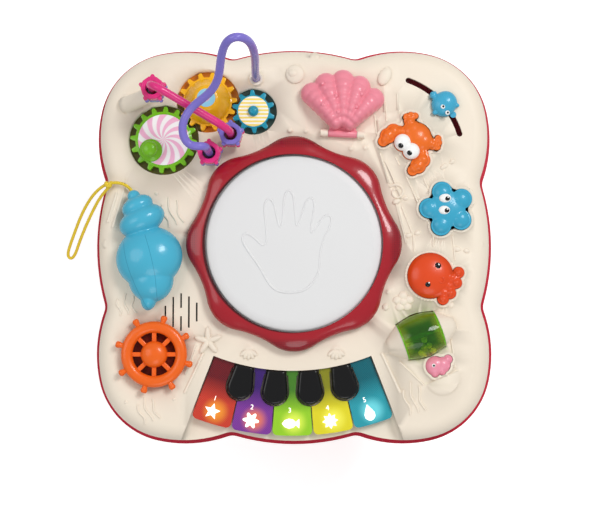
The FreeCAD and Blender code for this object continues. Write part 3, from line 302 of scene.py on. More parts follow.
# repeatTree: Geometry Nodes that set one form again and again round a centre and along a step
def makeRepeatTree():
    tree = bpy.data.node_groups.new("repeatForm", "GeometryNodeTree")
    groupInput(tree, "Geometry", "NodeSocketGeometry")
    groupInput(tree, "Count", "NodeSocketInt", 5)
    groupInput(tree, "Turn", "NodeSocketFloat", 0.0)
    groupInput(tree, "Start", "NodeSocketFloat", 0.0)
    groupInput(tree, "Centre", "NodeSocketVector", (0, 0, 0))
    groupInput(tree, "Shift", "NodeSocketVector", (0, 0, 0))
    groupInput(tree, "Material", "NodeSocketMaterial")
    tree.interface.new_socket("Geometry", in_out="OUTPUT", socket_type="NodeSocketGeometry")
    add, link = tree.nodes.new, tree.links.new
    start, end = add("NodeGroupInput"), add("NodeGroupOutput")
    index, points, setting = add("GeometryNodeInputIndex"), add("GeometryNodePoints"), add("GeometryNodeInstanceOnPoints")
    angle, spin = add("ShaderNodeMath"), add("ShaderNodeCombineXYZ")
    angle.operation = "MULTIPLY_ADD"
    link(index.outputs[0], angle.inputs[0])
    link(start.outputs["Turn"], angle.inputs[1])
    link(start.outputs["Start"], angle.inputs[2])
    link(angle.outputs[0], spin.inputs["Z"])
    away = add("ShaderNodeVectorMath")
    away.operation = "MULTIPLY_ADD"
    link(index.outputs[0], away.inputs[0])
    link(start.outputs["Shift"], away.inputs[1])
    link(start.outputs["Centre"], away.inputs[2])
    link(start.outputs["Count"], points.inputs["Count"])
    link(away.outputs[0], points.inputs["Position"])
    link(points.outputs[0], setting.inputs["Points"])
    link(start.outputs["Geometry"], setting.inputs["Instance"])
    link(spin.outputs[0], setting.inputs["Rotation"])
    real, finish = add("GeometryNodeRealizeInstances"), add("GeometryNodeSetMaterial")
    link(setting.outputs[0], real.inputs[0])
    link(real.outputs[0], finish.inputs["Geometry"])
    link(start.outputs["Material"], finish.inputs["Material"])
    link(finish.outputs[0], end.inputs[0])
    return tree


repeatTree = makeRepeatTree()


def repeated(mesh, material, count, turn=0.0, start=0.0, centre=(0, 0, 0), shift=(0, 0, 0), smooth=35):
    thing = bpy.data.objects.new("repeat", mesh)
    bpy.context.scene.collection.objects.link(thing)
    modifier = thing.modifiers.new("repeat", "NODES")
    modifier.node_group = repeatTree
    keys = {item.name: item.identifier for item in repeatTree.interface.items_tree if item.in_out == "INPUT"}
    values = {"Count": count, "Turn": math.radians(turn), "Start": math.radians(start),
              "Centre": [v * mm for v in centre], "Shift": [v * mm for v in shift], "Material": material}
    for name, value in values.items():
        modifier[keys[name]] = value
    bpy.context.view_layer.update()
    made = bpy.data.meshes.new_from_object(thing.evaluated_get(bpy.context.evaluated_depsgraph_get()))
    bpy.data.objects.remove(thing)
    smoothByAngle(made, smooth)
    return made


print("camera and makers ready")


# small builders for the patterns: each gives back the output that the next step reads
def calc(tree, operation, first, second=None, third=None):
    node = tree.nodes.new("ShaderNodeMath")
    node.operation = operation
    for socket, value in zip(node.inputs, (first, second, third)):
        if isinstance(value, (int, float)):
            socket.default_value = value
        elif value is not None:
            tree.links.new(value, socket)
    return node.outputs[0]


def blendTones(tree, factor, low, high):
    node = tree.nodes.new("ShaderNodeMix")
    node.data_type = "RGBA"
    tree.links.new(factor, node.inputs[0])
    for socket, value in ((node.inputs[6], low), (node.inputs[7], high)):
        if isinstance(value, tuple):
            socket.default_value = value
        else:
            tree.links.new(value, socket)
    return node.outputs[2]


def placeFrom(tree, x=0.0, y=0.0, z=0.0, turn=0.0):  # object coordinates in mm, counted from a point and turned
    place = tree.nodes.new("ShaderNodeTexCoord")
    shift = tree.nodes.new("ShaderNodeVectorMath")
    shift.operation = "MULTIPLY_ADD"
    shift.inputs[1].default_value = (1000, 1000, 1000)
    shift.inputs[2].default_value = (-x, -y, -z)
    tree.links.new(place.outputs["Object"], shift.inputs[0])
    spin = tree.nodes.new("ShaderNodeMapping")
    spin.inputs["Rotation"].default_value = (0, 0, math.radians(-turn))
    tree.links.new(shift.outputs[0], spin.inputs["Vector"])
    split = tree.nodes.new("ShaderNodeSeparateXYZ")
    tree.links.new(spin.outputs[0], split.inputs[0])
    return split.outputs


def band(tree, value, low, high, soft=0.3):  # 1 between low and high
    rising = tree.nodes.new("ShaderNodeMapRange")
    falling = tree.nodes.new("ShaderNodeMapRange")
    for node, start, end in ((rising, low - soft, low + soft), (falling, high + soft, high - soft)):
        node.inputs["From Min"].default_value = start
        node.inputs["From Max"].default_value = end
        tree.links.new(value, node.inputs["Value"])
    return calc(tree, "MULTIPLY", rising.outputs[0], falling.outputs[0])


def awayFrom(tree, x, y):
    across, along, _ = placeFrom(tree, x, y)
    return calc(tree, "SQRT", calc(tree, "ADD", calc(tree, "POWER", across, 2.0), calc(tree, "POWER", along, 2.0)))


# strap: the wrist cord of the loose shell, in its photographed loop
strap = {"radius": 1.5, "colour": (247, 214, 62), "exit": (-153.4, 46.5, 271.6)}
strapRoute = [(-153.4, 46.5, 271.6), (-158.5, 56.5, 273), (-177, 60, 271), (-193, 51, 263), (-207, 33, 250),
              (-219, 9, 235), (-227, -10, 226), (-220, -13, 225), (-211, 8, 236), (-199, 30, 249),
              (-187, 48, 262), (-178, 55, 269)]


# painted shade: darker bands along the grooves of the twisted cord
def twistPattern(tree, tone):
    across, along, up = placeFrom(tree)
    slant = calc(tree, "ADD", calc(tree, "ADD", across, along), calc(tree, "MULTIPLY", up, 1.4))
    wave = calc(tree, "SINE", calc(tree, "MULTIPLY", slant, 3.4))
    return blendTones(tree, band(tree, wave, 0.35, 3, 0.4), tone, tuple(v * 0.62 for v in tone[:3]) + (1,))


def makeStrap():
    material = plastic("strapCord", strap["colour"], 0.75, 2600, 0.4, 0.05, pattern=twistPattern)
    data = bpy.data.curves.new("strapCord", "CURVE")
    data.dimensions = "3D"
    data.bevel_depth = strap["radius"] * mm
    data.bevel_resolution = 6
    data.resolution_u = 20
    spline = data.splines.new("NURBS")
    spline.points.add(len(strapRoute) - 1)
    for point, spot in zip(spline.points, strapRoute):
        point.co = (*[v * mm for v in spot], 1)
    spline.order_u = 3
    spline.use_endpoint_u = True
    data.use_fill_caps = True
    data.materials.append(material)
    cord = bpy.data.objects.new("strapCord", data)
    bpy.context.scene.collection.objects.link(cord)
    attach(cord, "conch")
    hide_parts("strap")
    lumps = [(-178.6, 56.2, 269.6, 3.3, 2.6, 2.4, 20), (-181, 58.0, 269.6, 2.2, 2.6, 2.3, -30),
             (-176.6, 58.4, 269.8, 2.4, 2.0, 2.2, 60)]
    knot = linkPiece("strapKnot", blobs(lumps, 0.35, 3), material, "conch")


makeStrap()
print("strap laid")

# stage: a white floor and a soft even light, a little stronger from the upper right
stage = {"floor": (246, 246, 246), "world": 0.44, "key": 8.8, "fill": 2.8}


def lamp(name, place, aim, size, power, tint=(1, 1, 1)):
    data = bpy.data.lights.new(name, "AREA")
    data.shape = "DISK"
    data.size = size
    data.energy = power
    data.color = tint
    thing = bpy.data.objects.new(name, data)
    thing.location = place
    thing.rotation_euler = (Vector(aim) - Vector(place)).to_track_quat("-Z", "Y").to_euler()
    bpy.context.scene.collection.objects.link(thing)


def makeStage():
    bpy.context.scene.view_settings.view_transform = "Standard"
    world = bpy.data.worlds.new("studio")
    world.use_nodes = True
    tree = world.node_tree
    back = tree.nodes["Background"]
    back.inputs["Color"].default_value = (1, 1, 1, 1)
    path = tree.nodes.new("ShaderNodeLightPath")
    seen = calc(tree, "MAXIMUM", path.outputs["Is Camera Ray"], path.outputs["Is Transmission Ray"])
    level = tree.nodes.new("ShaderNodeMapRange")
    level.inputs["To Min"].default_value = stage["world"]
    level.inputs["To Max"].default_value = 1.0
    tree.links.new(seen, level.inputs["Value"])
    tree.links.new(level.outputs[0], back.inputs["Strength"])
    bpy.context.scene.world = world
    builder = bmesh.new()
    bmesh.ops.create_grid(builder, x_segments=1, y_segments=1, size=4)
    floor = bpy.data.objects.new("studioFloor", meshFrom(builder))
    bpy.context.scene.collection.objects.link(floor)
    material = bpy.data.materials.new("studioFloor")
    material.use_nodes = True
    tree = material.node_tree
    surface = tree.nodes["Principled BSDF"]
    surface.inputs["Base Color"].default_value = fromScreen(*stage["floor"])
    surface.inputs["Roughness"].default_value = 0.9
    surface.inputs["Emission Color"].default_value = (1, 1, 1, 1)
    path = tree.nodes.new("ShaderNodeLightPath")
    tree.links.new(calc(tree, "MULTIPLY", path.outputs["Is Camera Ray"], 0.5), surface.inputs["Emission Strength"])
    floor.data.materials.append(material)
    lamp("keyLamp", (0.9, 0.8, 1.9), (0, 0, 0.25), 0.7, stage["key"] * 2.2)
    lamp("fillLamp", (-1.1, 0.2, 1.7), (0, 0, 0.25), 1.1, stage["fill"] * 2.2)
    lamp("frontLamp", (0.1, -1.3, 1.5), (0, 0, 0.25), 0.9, stage["fill"] * 1.6)


makeStage()
print("stage lit")

# casing: base, deck, legs and what lies inside
casing = {"deck": (240, 228, 210), "base": (190, 22, 52), "legs": (240, 228, 210)}
hidden = {"drum_bracket": (40, 34, 34), "circuit_boards": (28, 96, 52), "speaker": (26, 26, 28),
          "contact_domes": (170, 170, 166), "batteries": (60, 66, 84), "battery_door": (186, 22, 50),
          "key_rail": (44, 30, 34), "slider_channel": (112, 14, 28), "power_switch": (120, 120, 122),
          "foot_pads": (62, 60, 60)}


def dressed(name, cadNames, material, body, smooth=32, soft=None, rounds=6):
    mesh = meshFrom(copyOf(*cadNames), smooth)
    if soft:
        mesh = softened(mesh, soft, rounds)
    return linkPiece(name, mesh, material, body, cadNames)


cream = plastic("creamDeck", casing["deck"], 0.5, 700, 0.05, 0.05)
crimson = plastic("crimsonBase", casing["base"], 0.32, 700, 0.03, 0.05, coat=0.3)
steel = bpy.data.materials.new("plainSteel")


def makeCasing():
    steel.use_nodes = True
    surface = steel.node_tree.nodes["Principled BSDF"]
    surface.inputs["Metallic"].default_value = 1
    noise = steel.node_tree.nodes.new("ShaderNodeTexNoise")
    noise.inputs["Scale"].default_value = 900
    ramp = steel.node_tree.nodes.new("ShaderNodeMapRange")
    ramp.inputs["To Min"].default_value = 0.22
    ramp.inputs["To Max"].default_value = 0.42
    place = steel.node_tree.nodes.new("ShaderNodeTexCoord")
    steel.node_tree.links.new(place.outputs["Object"], noise.inputs["Vector"])
    steel.node_tree.links.new(noise.outputs["Fac"], ramp.inputs["Value"])
    steel.node_tree.links.new(ramp.outputs[0], surface.inputs["Roughness"])
    surface.inputs["Base Color"].default_value = (0.55, 0.55, 0.56, 1)
    dressed("deckShell", ["deck_casing"], cream, "root", 28)
    dressed("baseShell", ["base_casing"], crimson, "root", 28)
    for side in ("front_left", "front_right", "back_left", "back_right"):
        dressed(f"leg_{side}", [f"leg_{side}"], cream, "root", 40)
    for name, tone in hidden.items():
        body = "power_switch" if name == "power_switch" else "root"
        dressed(f"inner_{name}", [name], plastic(f"inner_{name}", tone, 0.55, 800, 0.05), body)
    for name in ("casing_screws", "roller_axle", "shell_hinge_pin"):
        dressed(f"steel_{name}", [name], steel, "root")
    dressed("axlePins", ["gear_axles"], cream, "root")
    mirror = plastic("mirrorFilm", (225, 228, 230), 0.1, 60, 0.01, 0.02)
    mirror.node_tree.nodes["Principled BSDF"].inputs["Metallic"].default_value = 1
    dressed("lidMirror", ["shell_mirror"], mirror, "root")


makeCasing()
print("casing done")

# reliefs: the low cream figures moulded on the deck, as ridges along a line or a curve and as round pads
reliefs = {
    # straight ridges: where they start, length, direction and half thickness
    "bars": [(83, 88, 31, -72, 0.9), (108, 66, 28, -66, 0.9), (98, 84, 9, -65, 0.9), (125, 64, 12, -67, 0.9),
             (104, 36, 27, -69, 0.9), (115, 8, 16, -88, 0.9), (134, 8, 10, -90, 0.9), (153, 8, 24, -85, 0.9),
             (89, 138, 19, -88, 0.9), (102, 138, 11, -93, 0.9), (78, 125, 18, -85, 0.9),
             (101, -113, 32, -44, 1.1), (151, -92, 27, -82, 1.1),
             (-171, 50, 30, -107, 1.5), (-87, -105, 42, -115, 1.5), (84, -105, 42, -65, 1.5)],
    # sea plants: where the middle stem is rooted, how tall it is and which way it leans
    "plants": [(-114, 18, 28, 108), (-160, -68, 20, 100), (-136, -170, 24, 112), (118, -162, 30, 106)],
    "stems": 3, "stemGap": 7, "sway": 1.8, "stemGirth": 1.1,
    "curl": (99, 50), "curlStart": 2.4, "curlGrowth": 0.55, "curlGirth": 1.3,
    "notes": [(110, 8, 15), (145, 75, 30), (157, -5, -10), (99, 41, 20)],
    "coral": (105, -56), "coralReach": 6,
    "bubbles": [(88, -61, 3.4), (151, -59, 3), (-161, -152, 1.8), (-115, -149, 1.8), (-133, 49, 2), (-4, 110, 2.4)],
    "roundShell": (1, 164.8), "longShell": (88, 162.5), "fans": [(-43.5, -101), (40.5, -101)],
    "starfish": (-82.4, -93.4)}


def makeReliefs():
    ground = BVHTree.FromBMesh(copyOf("deck_casing"))
    made = []

    def level(x, y):
        hit = ground.ray_cast(Vector((x, y, 500)) * mm, Vector((0, 0, -1)))[0]
        return hit.z / mm if hit else plateau

    def ridge(route, girth):
        made.append(tube([(x, y, level(x, y)) for x, y in route], girth, sides=4))

    def pad(x, y, long, wide, rise, turn=0):
        made.append(eyeBall(x, y, level(x, y) - 0.3, long, wide, rise, turn))

    for x, y, length, way, girth in reliefs["bars"]:
        ridge([polar(length * share, way, x, y) for share in (0, 0.5, 1)], girth)
    for x, y, tall, way in reliefs["plants"]:
        for stem in range(reliefs["stems"]):
            aside = (stem - 1) * reliefs["stemGap"]
            root = polar(aside, way - 90, x, y)
            height = tall * (1 - 0.18 * abs(stem - 1))
            bends = [polar(reliefs["sway"] * math.sin(1.3 * k + stem), way - 90, *polar(height * k / 5, way, *root))
                     for k in range(6)]
            ridge(bends, reliefs["stemGirth"])
    curl = [polar(reliefs["curlStart"] + reliefs["curlGrowth"] * k, 60 + 40 * k, *reliefs["curl"]) for k in range(12)]
    ridge(curl, reliefs["curlGirth"])
    for x, y, turn in reliefs["notes"]:
        pad(x, y, 4.2, 2.6, 2.0, turn)
        pad(*polar(9.5, turn, x, y), 3.2, 2.4, 2.0, turn)
    pad(*reliefs["coral"], 4.6, 4.2, 2.6)
    for k in range(5):
        pad(*polar(reliefs["coralReach"], 72 * k + 20, *reliefs["coral"]), 4.4, 4, 2.4)
    for x, y, radius in reliefs["bubbles"]:
        pad(x, y, radius, radius, 0.7 * radius)
    pad(*reliefs["roundShell"], 9, 9, 2.6)
    pad(reliefs["roundShell"][0] - 2, reliefs["roundShell"][1] + 0.8, 5.5, 5, 3.9)
    pad(*reliefs["longShell"], 6, 9.5, 3.4, -30)
    for x, y in reliefs["fans"]:
        for k in range(-2, 3):
            pad(*polar(5.2, 26 * k - 90, x, y), 5.4, 2.3, 2.3, 26 * k - 90)
    for k in range(5):
        pad(*polar(6.4, 20 + 72 * k, *reliefs["starfish"]), 7.6, 2.9, 2.5, 20 + 72 * k)
    linkPiece("deckReliefs", joined(*made, smooth=60), cream, "root")


# drum: a wavy ring with a fine net under its four broad lobes, and a pale head with a child's hand in relief
drum = {"ring": (166, 24, 38), "net": (96, 8, 24), "head": (226, 226, 226), "line": 1.3, "pitch": 1.7}


def ringPattern(tree, tone):
    across, along, up = placeFrom(tree)
    netX = band(tree, calc(tree, "SINE", calc(tree, "MULTIPLY", across, 6.2832 / drum["pitch"])), 0.1, 3, 0.5)
    netY = band(tree, calc(tree, "SINE", calc(tree, "MULTIPLY", along, 6.2832 / drum["pitch"])), 0.1, 3, 0.5)
    net = calc(tree, "MULTIPLY", netX, netY)
    far = calc(tree, "MAXIMUM", calc(tree, "ABSOLUTE", across), calc(tree, "ABSOLUTE", along))
    lobe = band(tree, far, 93, 140, 2.5)
    away = awayFrom(tree, -1.7, -0.2)
    # painted shade: the ring's inner lip darkens where it drops into the groove beside the head
    inner = band(tree, away, 60, 85.6, 0.5)
    netted = blendTones(tree, calc(tree, "MULTIPLY", net, calc(tree, "MULTIPLY", lobe, 0.85)), tone,
                        fromScreen(*drum["net"]))
    shaded = blendTones(tree, calc(tree, "MULTIPLY", lobe, 0.35), netted, fromScreen(104, 10, 26))
    return blendTones(tree, inner, shaded, fromScreen(70, 8, 16))


handOutline = [(-3, -50), (-17, -49), (-27, -40), (-33, -27), (-43, -14), (-52, -2), (-55, 7), (-49, 11), (-40, 5),
               (-31, -5), (-27, 2), (-29, 20), (-31, 38), (-27, 46), (-20, 43), (-17, 24), (-13, 12), (-10, 28),
               (-10, 47), (-5, 55), (1, 50), (2, 30), (4, 12), (9, 28), (14, 44), (20, 47), (24, 40), (20, 22),
               (18, 6), (26, 18), (34, 29), (41, 28), (41, 19), (33, 6), (28, -10), (29, -26), (22, -40), (11, -49)]


makeReliefs()


def makeDrum():
    glassy = plastic("crimsonRing", drum["ring"], 0.22, 500, 0.02, 0.05, coat=0.7, clear=0.0, pattern=ringPattern)
    dressed("drumRing", ["drum_ring"], glassy, "root", 30)
    head = plastic("drumHead", drum["head"], 0.42, 1200, 0.03, 0.02)
    skin = dressed("drumHead", ["drum_head"], head, "drum", 30)
    top = max(corner.co.z for corner in skin.data.vertices) / mm
    hand = tube([(0.9 * x - 1, 0.95 * y, top - 1.1) for x, y in handOutline], drum["line"], closed=True, order=4)
    linkPiece("handRelief", hand, head, "drum")


makeDrum()
print("drum done")

# keys: see-through plates over a dark mesh, each lit from under a motif and a number, with painted shade darkening each
# key's rear under the deck's overhang
keys = {"fan": (-1.5, 85.4), "pitch": 8.5, "numberSize": 9.5,
        "tones": {1: (200, 34, 42), 2: (104, 40, 160), 3: (140, 206, 30), 4: (226, 214, 26), 5: (20, 148, 164)},
        "glows": {1: (255, 160, 50), 2: (244, 130, 90), 3: (235, 255, 90), 4: (255, 250, 90), 5: (120, 230, 240)},
        # dark: each key's rear tone, darkened as painted shade under the deck's overhang
        "dark": {1: (64, 10, 24), 2: (44, 22, 100), 3: (34, 104, 38), 4: (108, 114, 28), 5: (2, 84, 96)}}


def fanPoint(radius, angle):
    return polar(radius, angle - 90, *keys["fan"])


def keyPattern(number):
    angle = keys["pitch"] * (number - 3)
    glowX, glowY = fanPoint(257, angle + 0.3)

    def draw(tree, tone):
        away = awayFrom(tree, *keys["fan"])
        spread = tree.nodes.new("ShaderNodeMapRange")
        spread.inputs["From Min"].default_value = 226
        spread.inputs["From Max"].default_value = 248
        tree.links.new(away, spread.inputs["Value"])
        across, along, _ = placeFrom(tree, turn=45)
        lineA = band(tree, calc(tree, "SINE", calc(tree, "MULTIPLY", across, 4.2)), 0.2, 3, 0.5)
        lineB = band(tree, calc(tree, "SINE", calc(tree, "MULTIPLY", along, 4.2)), 0.2, 3, 0.5)
        mesh = calc(tree, "MULTIPLY", calc(tree, "MAXIMUM", lineA, lineB), 0.28)
        # the crosshatch is the key's own mesh; towards the rear it darkens with painted shade under the deck's
        # overhang, and towards the front it brightens with the painted glow of the key's light
        shadedRear = blendTones(tree, mesh, fromScreen(*keys["dark"][number]), tone)
        bright = blendTones(tree, calc(tree, "MULTIPLY", mesh, 0.5), tone, fromScreen(*keys["glows"][number]))
        base = blendTones(tree, spread.outputs[0], shadedRear, bright)
        spot = tree.nodes.new("ShaderNodeMapRange")
        spot.interpolation_type = "SMOOTHSTEP"
        spot.inputs["From Min"].default_value = 15
        spot.inputs["From Max"].default_value = 4
        tree.links.new(awayFrom(tree, glowX, glowY), spot.inputs["Value"])
        return blendTones(tree, calc(tree, "MULTIPLY", spot.outputs[0], 0.85), base, fromScreen(*keys["glows"][number]))
    return draw


def starShape(points, outer, inner):
    return [polar(outer if k % 2 == 0 else inner, 90 + 180 * k / points) for k in range(2 * points)]


def petals(count, middle, depth, steps=60):
    return [polar(middle + depth * math.cos(count * 2 * math.pi * k / steps), 360 * k / steps) for k in range(steps)]


fishShape = [(-5.2, 0), (-3.6, 2), (-1, 3), (1.6, 2.4), (3.2, 0.9), (5.2, 2.8), (5.4, 0), (5.2, -2.8), (3.2, -0.9),
             (1.6, -2.4), (-1, -3), (-3.6, -2)]
dropShape = [(0, 5), (2, 1.6), (3.2, -0.8), (3, -3), (1.6, -4.5), (0, -5), (-1.6, -4.5), (-3, -3), (-3.2, -0.8),
             (-2, 1.6)]
motifs = {1: starShape(5, 5, 2.3), 2: petals(6, 3.9, 1.1), 3: fishShape, 4: starShape(8, 4.8, 3), 5: dropShape}


def textMesh(text, size, rise):
    data = bpy.data.curves.new("number", "FONT")
    data.body = text
    data.size = size * mm
    data.extrude = rise * mm / 2
    data.align_x = data.align_y = "CENTER"
    holder = bpy.data.objects.new("number", data)
    bpy.context.scene.collection.objects.link(holder)
    bpy.context.view_layer.update()
    mesh = bpy.data.meshes.new_from_object(holder.evaluated_get(bpy.context.evaluated_depsgraph_get()))
    bpy.data.objects.remove(holder)
    return mesh


def moved(mesh, x, y, z, turn=0.0, scale=1.0):
    mesh.transform(Matrix.Translation(Vector((x, y, z)) * mm) @ Matrix.Rotation(math.radians(turn), 4, "Z")
                   @ Matrix.Scale(scale, 4))
    return mesh


def makeKeys():
    lit = plastic("litPrint", (255, 250, 240), 0.4, 900, 0.02, 0.02, glow=0.8)
    for number, tone in keys["tones"].items():
        angle = keys["pitch"] * (number - 3)
        body = f"key_{number}"
        clear = plastic(f"keyPlate{number}", tone, 0.16, 500, 0.02, 0.04, coat=0.8, pattern=keyPattern(number))
        mesh = meshFrom(copyOf(body), 30)
        mesh = applied(mesh, ("BEVEL", {"width": 0.9 * mm, "segments": 3, "limit_method": "ANGLE",
                                        "angle_limit": math.radians(50)}))
        smoothByAngle(mesh, 30)
        linkPiece(f"keyPlate{number}", mesh, clear, body, [body])
        x, y = fanPoint(258, angle - 0.4)
        motif = moved(plate(motifs[number], 0, 0.25), x, y, keyTop - 0.02, angle, 1.6)
        linkPiece(f"keyMotif{number}", motif, lit, body)
        x, y = fanPoint(245.4, angle - 0.6)
        digit = moved(textMesh(str(number), 6.6, 0.25), x, y, keyTop + 0.1, angle)
        linkPiece(f"keyNumber{number}", digit, lit, body)
    dark = plastic("blackKey", (9, 9, 11), 0.2, 500, 0.01, 0.03, coat=0.3)
    for number in range(1, 5):
        name = f"black_key_{number}"
        mesh = softened(meshFrom(copyOf(name)), 0.8, 8)
        linkPiece(f"blackKey{number}", mesh, dark, name, [name])


makeKeys()
print("keys done")

# gears: three toothed wheels in mesh, with printed discs, a knob and a see-through dome
gears = {"green": (118, 190, 28), "amber": (250, 186, 22), "teal": (30, 150, 178), "pitchLine": 3.78,
         "swirlPink": (248, 186, 216), "swirlWhite": (252, 250, 250), "stripe": (252, 226, 110),
         # the well tones are painted shade in each deep well, tinted with the painted reflection of its gear's colour
         "wellShade": {"green": (104, 96, 30), "yellow": (208, 128, 20), "blue": (60, 84, 78)}}
greenAt = (-126.4, 101.1)
yellowAt = polar(gears["pitchLine"] * 15, 41.3, *greenAt)
blueAt = polar(gears["pitchLine"] * 12, -12.2, *yellowAt)
gearTop = 266.3


def swirlPattern(tree, tone):
    x, y = greenAt
    across, along, _ = placeFrom(tree, x, y)
    angle = calc(tree, "ARCTAN2", along, across)
    away = awayFrom(tree, x, y)
    twist = calc(tree, "MULTIPLY_ADD", away, 0.035, angle)
    ray = band(tree, calc(tree, "SINE", calc(tree, "MULTIPLY", twist, 11.0)), 0.0, 3, 0.25)
    return blendTones(tree, ray, fromScreen(*gears["swirlWhite"]), fromScreen(*gears["swirlPink"]))


def stripePattern(tree, tone):
    _, along, _ = placeFrom(tree, *blueAt)
    ray = band(tree, calc(tree, "SINE", calc(tree, "MULTIPLY", along, 1.75)), 0.0, 3, 0.25)
    return blendTones(tree, ray, fromScreen(255, 253, 244), fromScreen(*gears["stripe"]))


def skyPattern(tree, tone):
    away = awayFrom(tree, *yellowAt)
    ring = calc(tree, "ADD", away, 0.0)
    spot = band(tree, ring, -5, 3.4, 0.8)
    return blendTones(tree, spot, fromScreen(150, 214, 240), fromScreen(246, 190, 214))


# painted shade: each gear's well floor is darkened and tinted with the painted reflection of its gear
def wellPattern(tree, tone):
    green = band(tree, awayFrom(tree, *greenAt), -5, 37.5, 0.3)
    yellow = band(tree, awayFrom(tree, *yellowAt), -5, 32.2, 0.3)
    first = blendTones(tree, yellow, fromScreen(*gears["wellShade"]["blue"]), fromScreen(*gears["wellShade"]["yellow"]))
    return blendTones(tree, green, first, fromScreen(*gears["wellShade"]["green"]))


def disc(x, y, radius, low, high, hole=0.0):
    profile = [(hole, low), (radius, low), (radius, high - 0.2), (radius - 0.2, high), (hole, high)]
    if hole:
        profile.append(profile[0])
    return lathe(profile, x, y, 0, 72)


def makeGears():
    tones = {"green": plastic("gearGreen", gears["green"], 0.25, 600, 0.03, 0.06, coat=0.4),
             "yellow": plastic("gearAmber", gears["amber"], 0.2, 600, 0.02, 0.05, coat=0.6, clear=0.0),
             "blue": plastic("gearTeal", gears["teal"], 0.25, 600, 0.03, 0.06, coat=0.4)}
    for name, tone in tones.items():
        mesh = applied(meshFrom(copyOf(f"{name}_gear"), 35),
                       ("BEVEL", {"width": 0.7 * mm, "segments": 2, "limit_method": "ANGLE",
                                  "angle_limit": math.radians(40)}))
        smoothByAngle(mesh, 35)
        linkPiece(f"gearWheel_{name}", mesh, tone, f"{name}_gear", [f"{name}_gear"])
    swirl = plastic("swirlPrint", (255, 255, 255), 0.35, 900, 0.01, 0.02, coat=0.4, pattern=swirlPattern)
    stripes = plastic("stripePrint", (255, 255, 255), 0.35, 900, 0.01, 0.02, coat=0.4, pattern=stripePattern)
    sky = plastic("skyPrint", (255, 255, 255), 0.35, 900, 0.01, 0.02, coat=0.4, pattern=skyPattern)
    linkPiece("greenPrint", disc(*greenAt, 24.7, gearTop - 0.1, gearTop + 0.3), swirl, "green_gear")
    linkPiece("bluePrint", disc(*blueAt, 14.8, gearTop - 0.1, gearTop + 0.3, 4.6), stripes, "blue_gear")
    knob = [(0, 0), (10.6, 0), (11, 0.6), (11, 1.8), (10, 2.6), (7.2, 3.6), (5.8, 5.2), (5.6, 7), (6.4, 9), (7.4, 11),
            (7.5, 12.6), (7, 14.4), (5.8, 15.8), (3.6, 16.7), (0, 17)]
    x, y = polar(16, 221, *greenAt)
    linkPiece("turningKnob", lathe(knob, x, y, gearTop, 64, smooth=60), tones["green"], "green_gear",
              ["green_knob"])
    dome = [(22, 0.02), (21.4, 2.6), (20.4, 5), (17.4, 10.4), (14.6, 15.4), (12.6, 18.4), (10.8, 19.6), (9.5, 20),
            (0, 20)]
    linkPiece("amberDome", lathe(dome, *yellowAt, gearTop, 80, smooth=45), tones["yellow"], "yellow_gear",
              ["yellow_dome"])
    linkPiece("skyPrint", disc(*yellowAt, 8.8, gearTop + 19.9, gearTop + 20.2), sky, "yellow_gear")
    wellShade = plastic("paintedWellShade", (100, 90, 60), 0.3, 600, 0.02, 0.05, coat=0.3, pattern=wellPattern)
    dressed("wellFloors", ["gear_dishes"], wellShade, "root")


makeGears()
print("gears done")

# rods and beads: two bent rods with three pairs of knobbly beads
rods = {"purple": (128, 116, 204), "pink": (226, 50, 128)}
rodRoute = {"radius": 3.75, "arch": [
    (-36.7, 160.1, -10), (-36.7, 160.1, 5), (-36.7, 160.1, 20), (-36, 160.4, 48), (-34.6, 161.5, 84), (-34.6, 164, 114),
    (-38.5, 167.5, 139), (-48.5, 168, 149.5), (-58.5, 165, 141), (-63.5, 154, 124), (-65.5, 141, 104), (-74, 129, 92),
    (-94, 119, 80), (-103.5, 101, 75), (-97, 84, 67), (-80.6, 85.6, 70), (-80.6, 85.6, 50), (-80.6, 85.6, 30),
    (-80.6, 85.6, 10), (-80.6, 85.6, -10)]}


def makeRods():
    glossy = {name: plastic(f"{name}Gloss", tone, 0.26, 500, 0.02, 0.05, coat=0.35) for name, tone in rods.items()}
    linkPiece("purpleRod", tube([(x, y, plateau + z) for x, y, z in rodRoute["arch"]], rodRoute["radius"], order=4, sides=8),
              glossy["purple"], "root", ["purple_rod"])
    dressed("pinkRod", ["pink_rod"], glossy["pink"], "root", 60)
    for number in (1, 2, 3):
        for name, tone in glossy.items():
            node = f"bead_{number}_{name}"
            mesh = softened(meshFrom(copyOf(node)), 0.5, 5)
            linkPiece(f"bead_{number}_{name}", mesh, tone, f"bead_{number}", [node])


makeRods()
print("rods and beads done")

# buttons: four sea animals that light up, each a soft domed form
crab = {"tone": (238, 112, 32), "place": (117.3, 102.0), "turn": 225, "pupils": [(102.6, 94.0), (111.1, 87.1)]}
star = {"tone": (58, 166, 200), "place": (147.5, 33.7), "eyes": [(145.3, 43.7), (144.6, 32.3)]}
octopus = {"tone": (226, 74, 26), "place": (131.1, -30.7), "eyes": [(137.9, -21.3), (128.3, -38.8)],
           "mouth": (141.3, -35.0)}
fish = {"tone": (240, 150, 172), "place": (138.2, -117.0), "turn": 10, "eye": (133.9, -116.8)}
capLow = plateau + 3.2  # above the frame round a hole when a button is pressed


def spread(discs, place, turn, level):  # (along, across, radius, half height) lumps turned about a place
    lumps = []
    for along, across, radius, tall in discs:
        dx, dy = polar(math.hypot(along, across), math.degrees(math.atan2(across, along)) + turn)
        lumps.append((place[0] + dx, place[1] + dy, level, radius, radius, tall, 0))
    return lumps


def tucked(mesh, cadName, high=plateau + 2.4):  # draws a cap's low edge in to its CAD outline, clear of the deck's hole
    skin = BVHTree.FromBMesh(copyOf(cadName))
    for corner in mesh.vertices:
        if corner.co.z < high * mm:
            spot, normal, _, _ = skin.find_nearest(corner.co)
            if (corner.co - spot).dot(normal) > 0:
                corner.co.x, corner.co.y = spot.x, spot.y
    return mesh


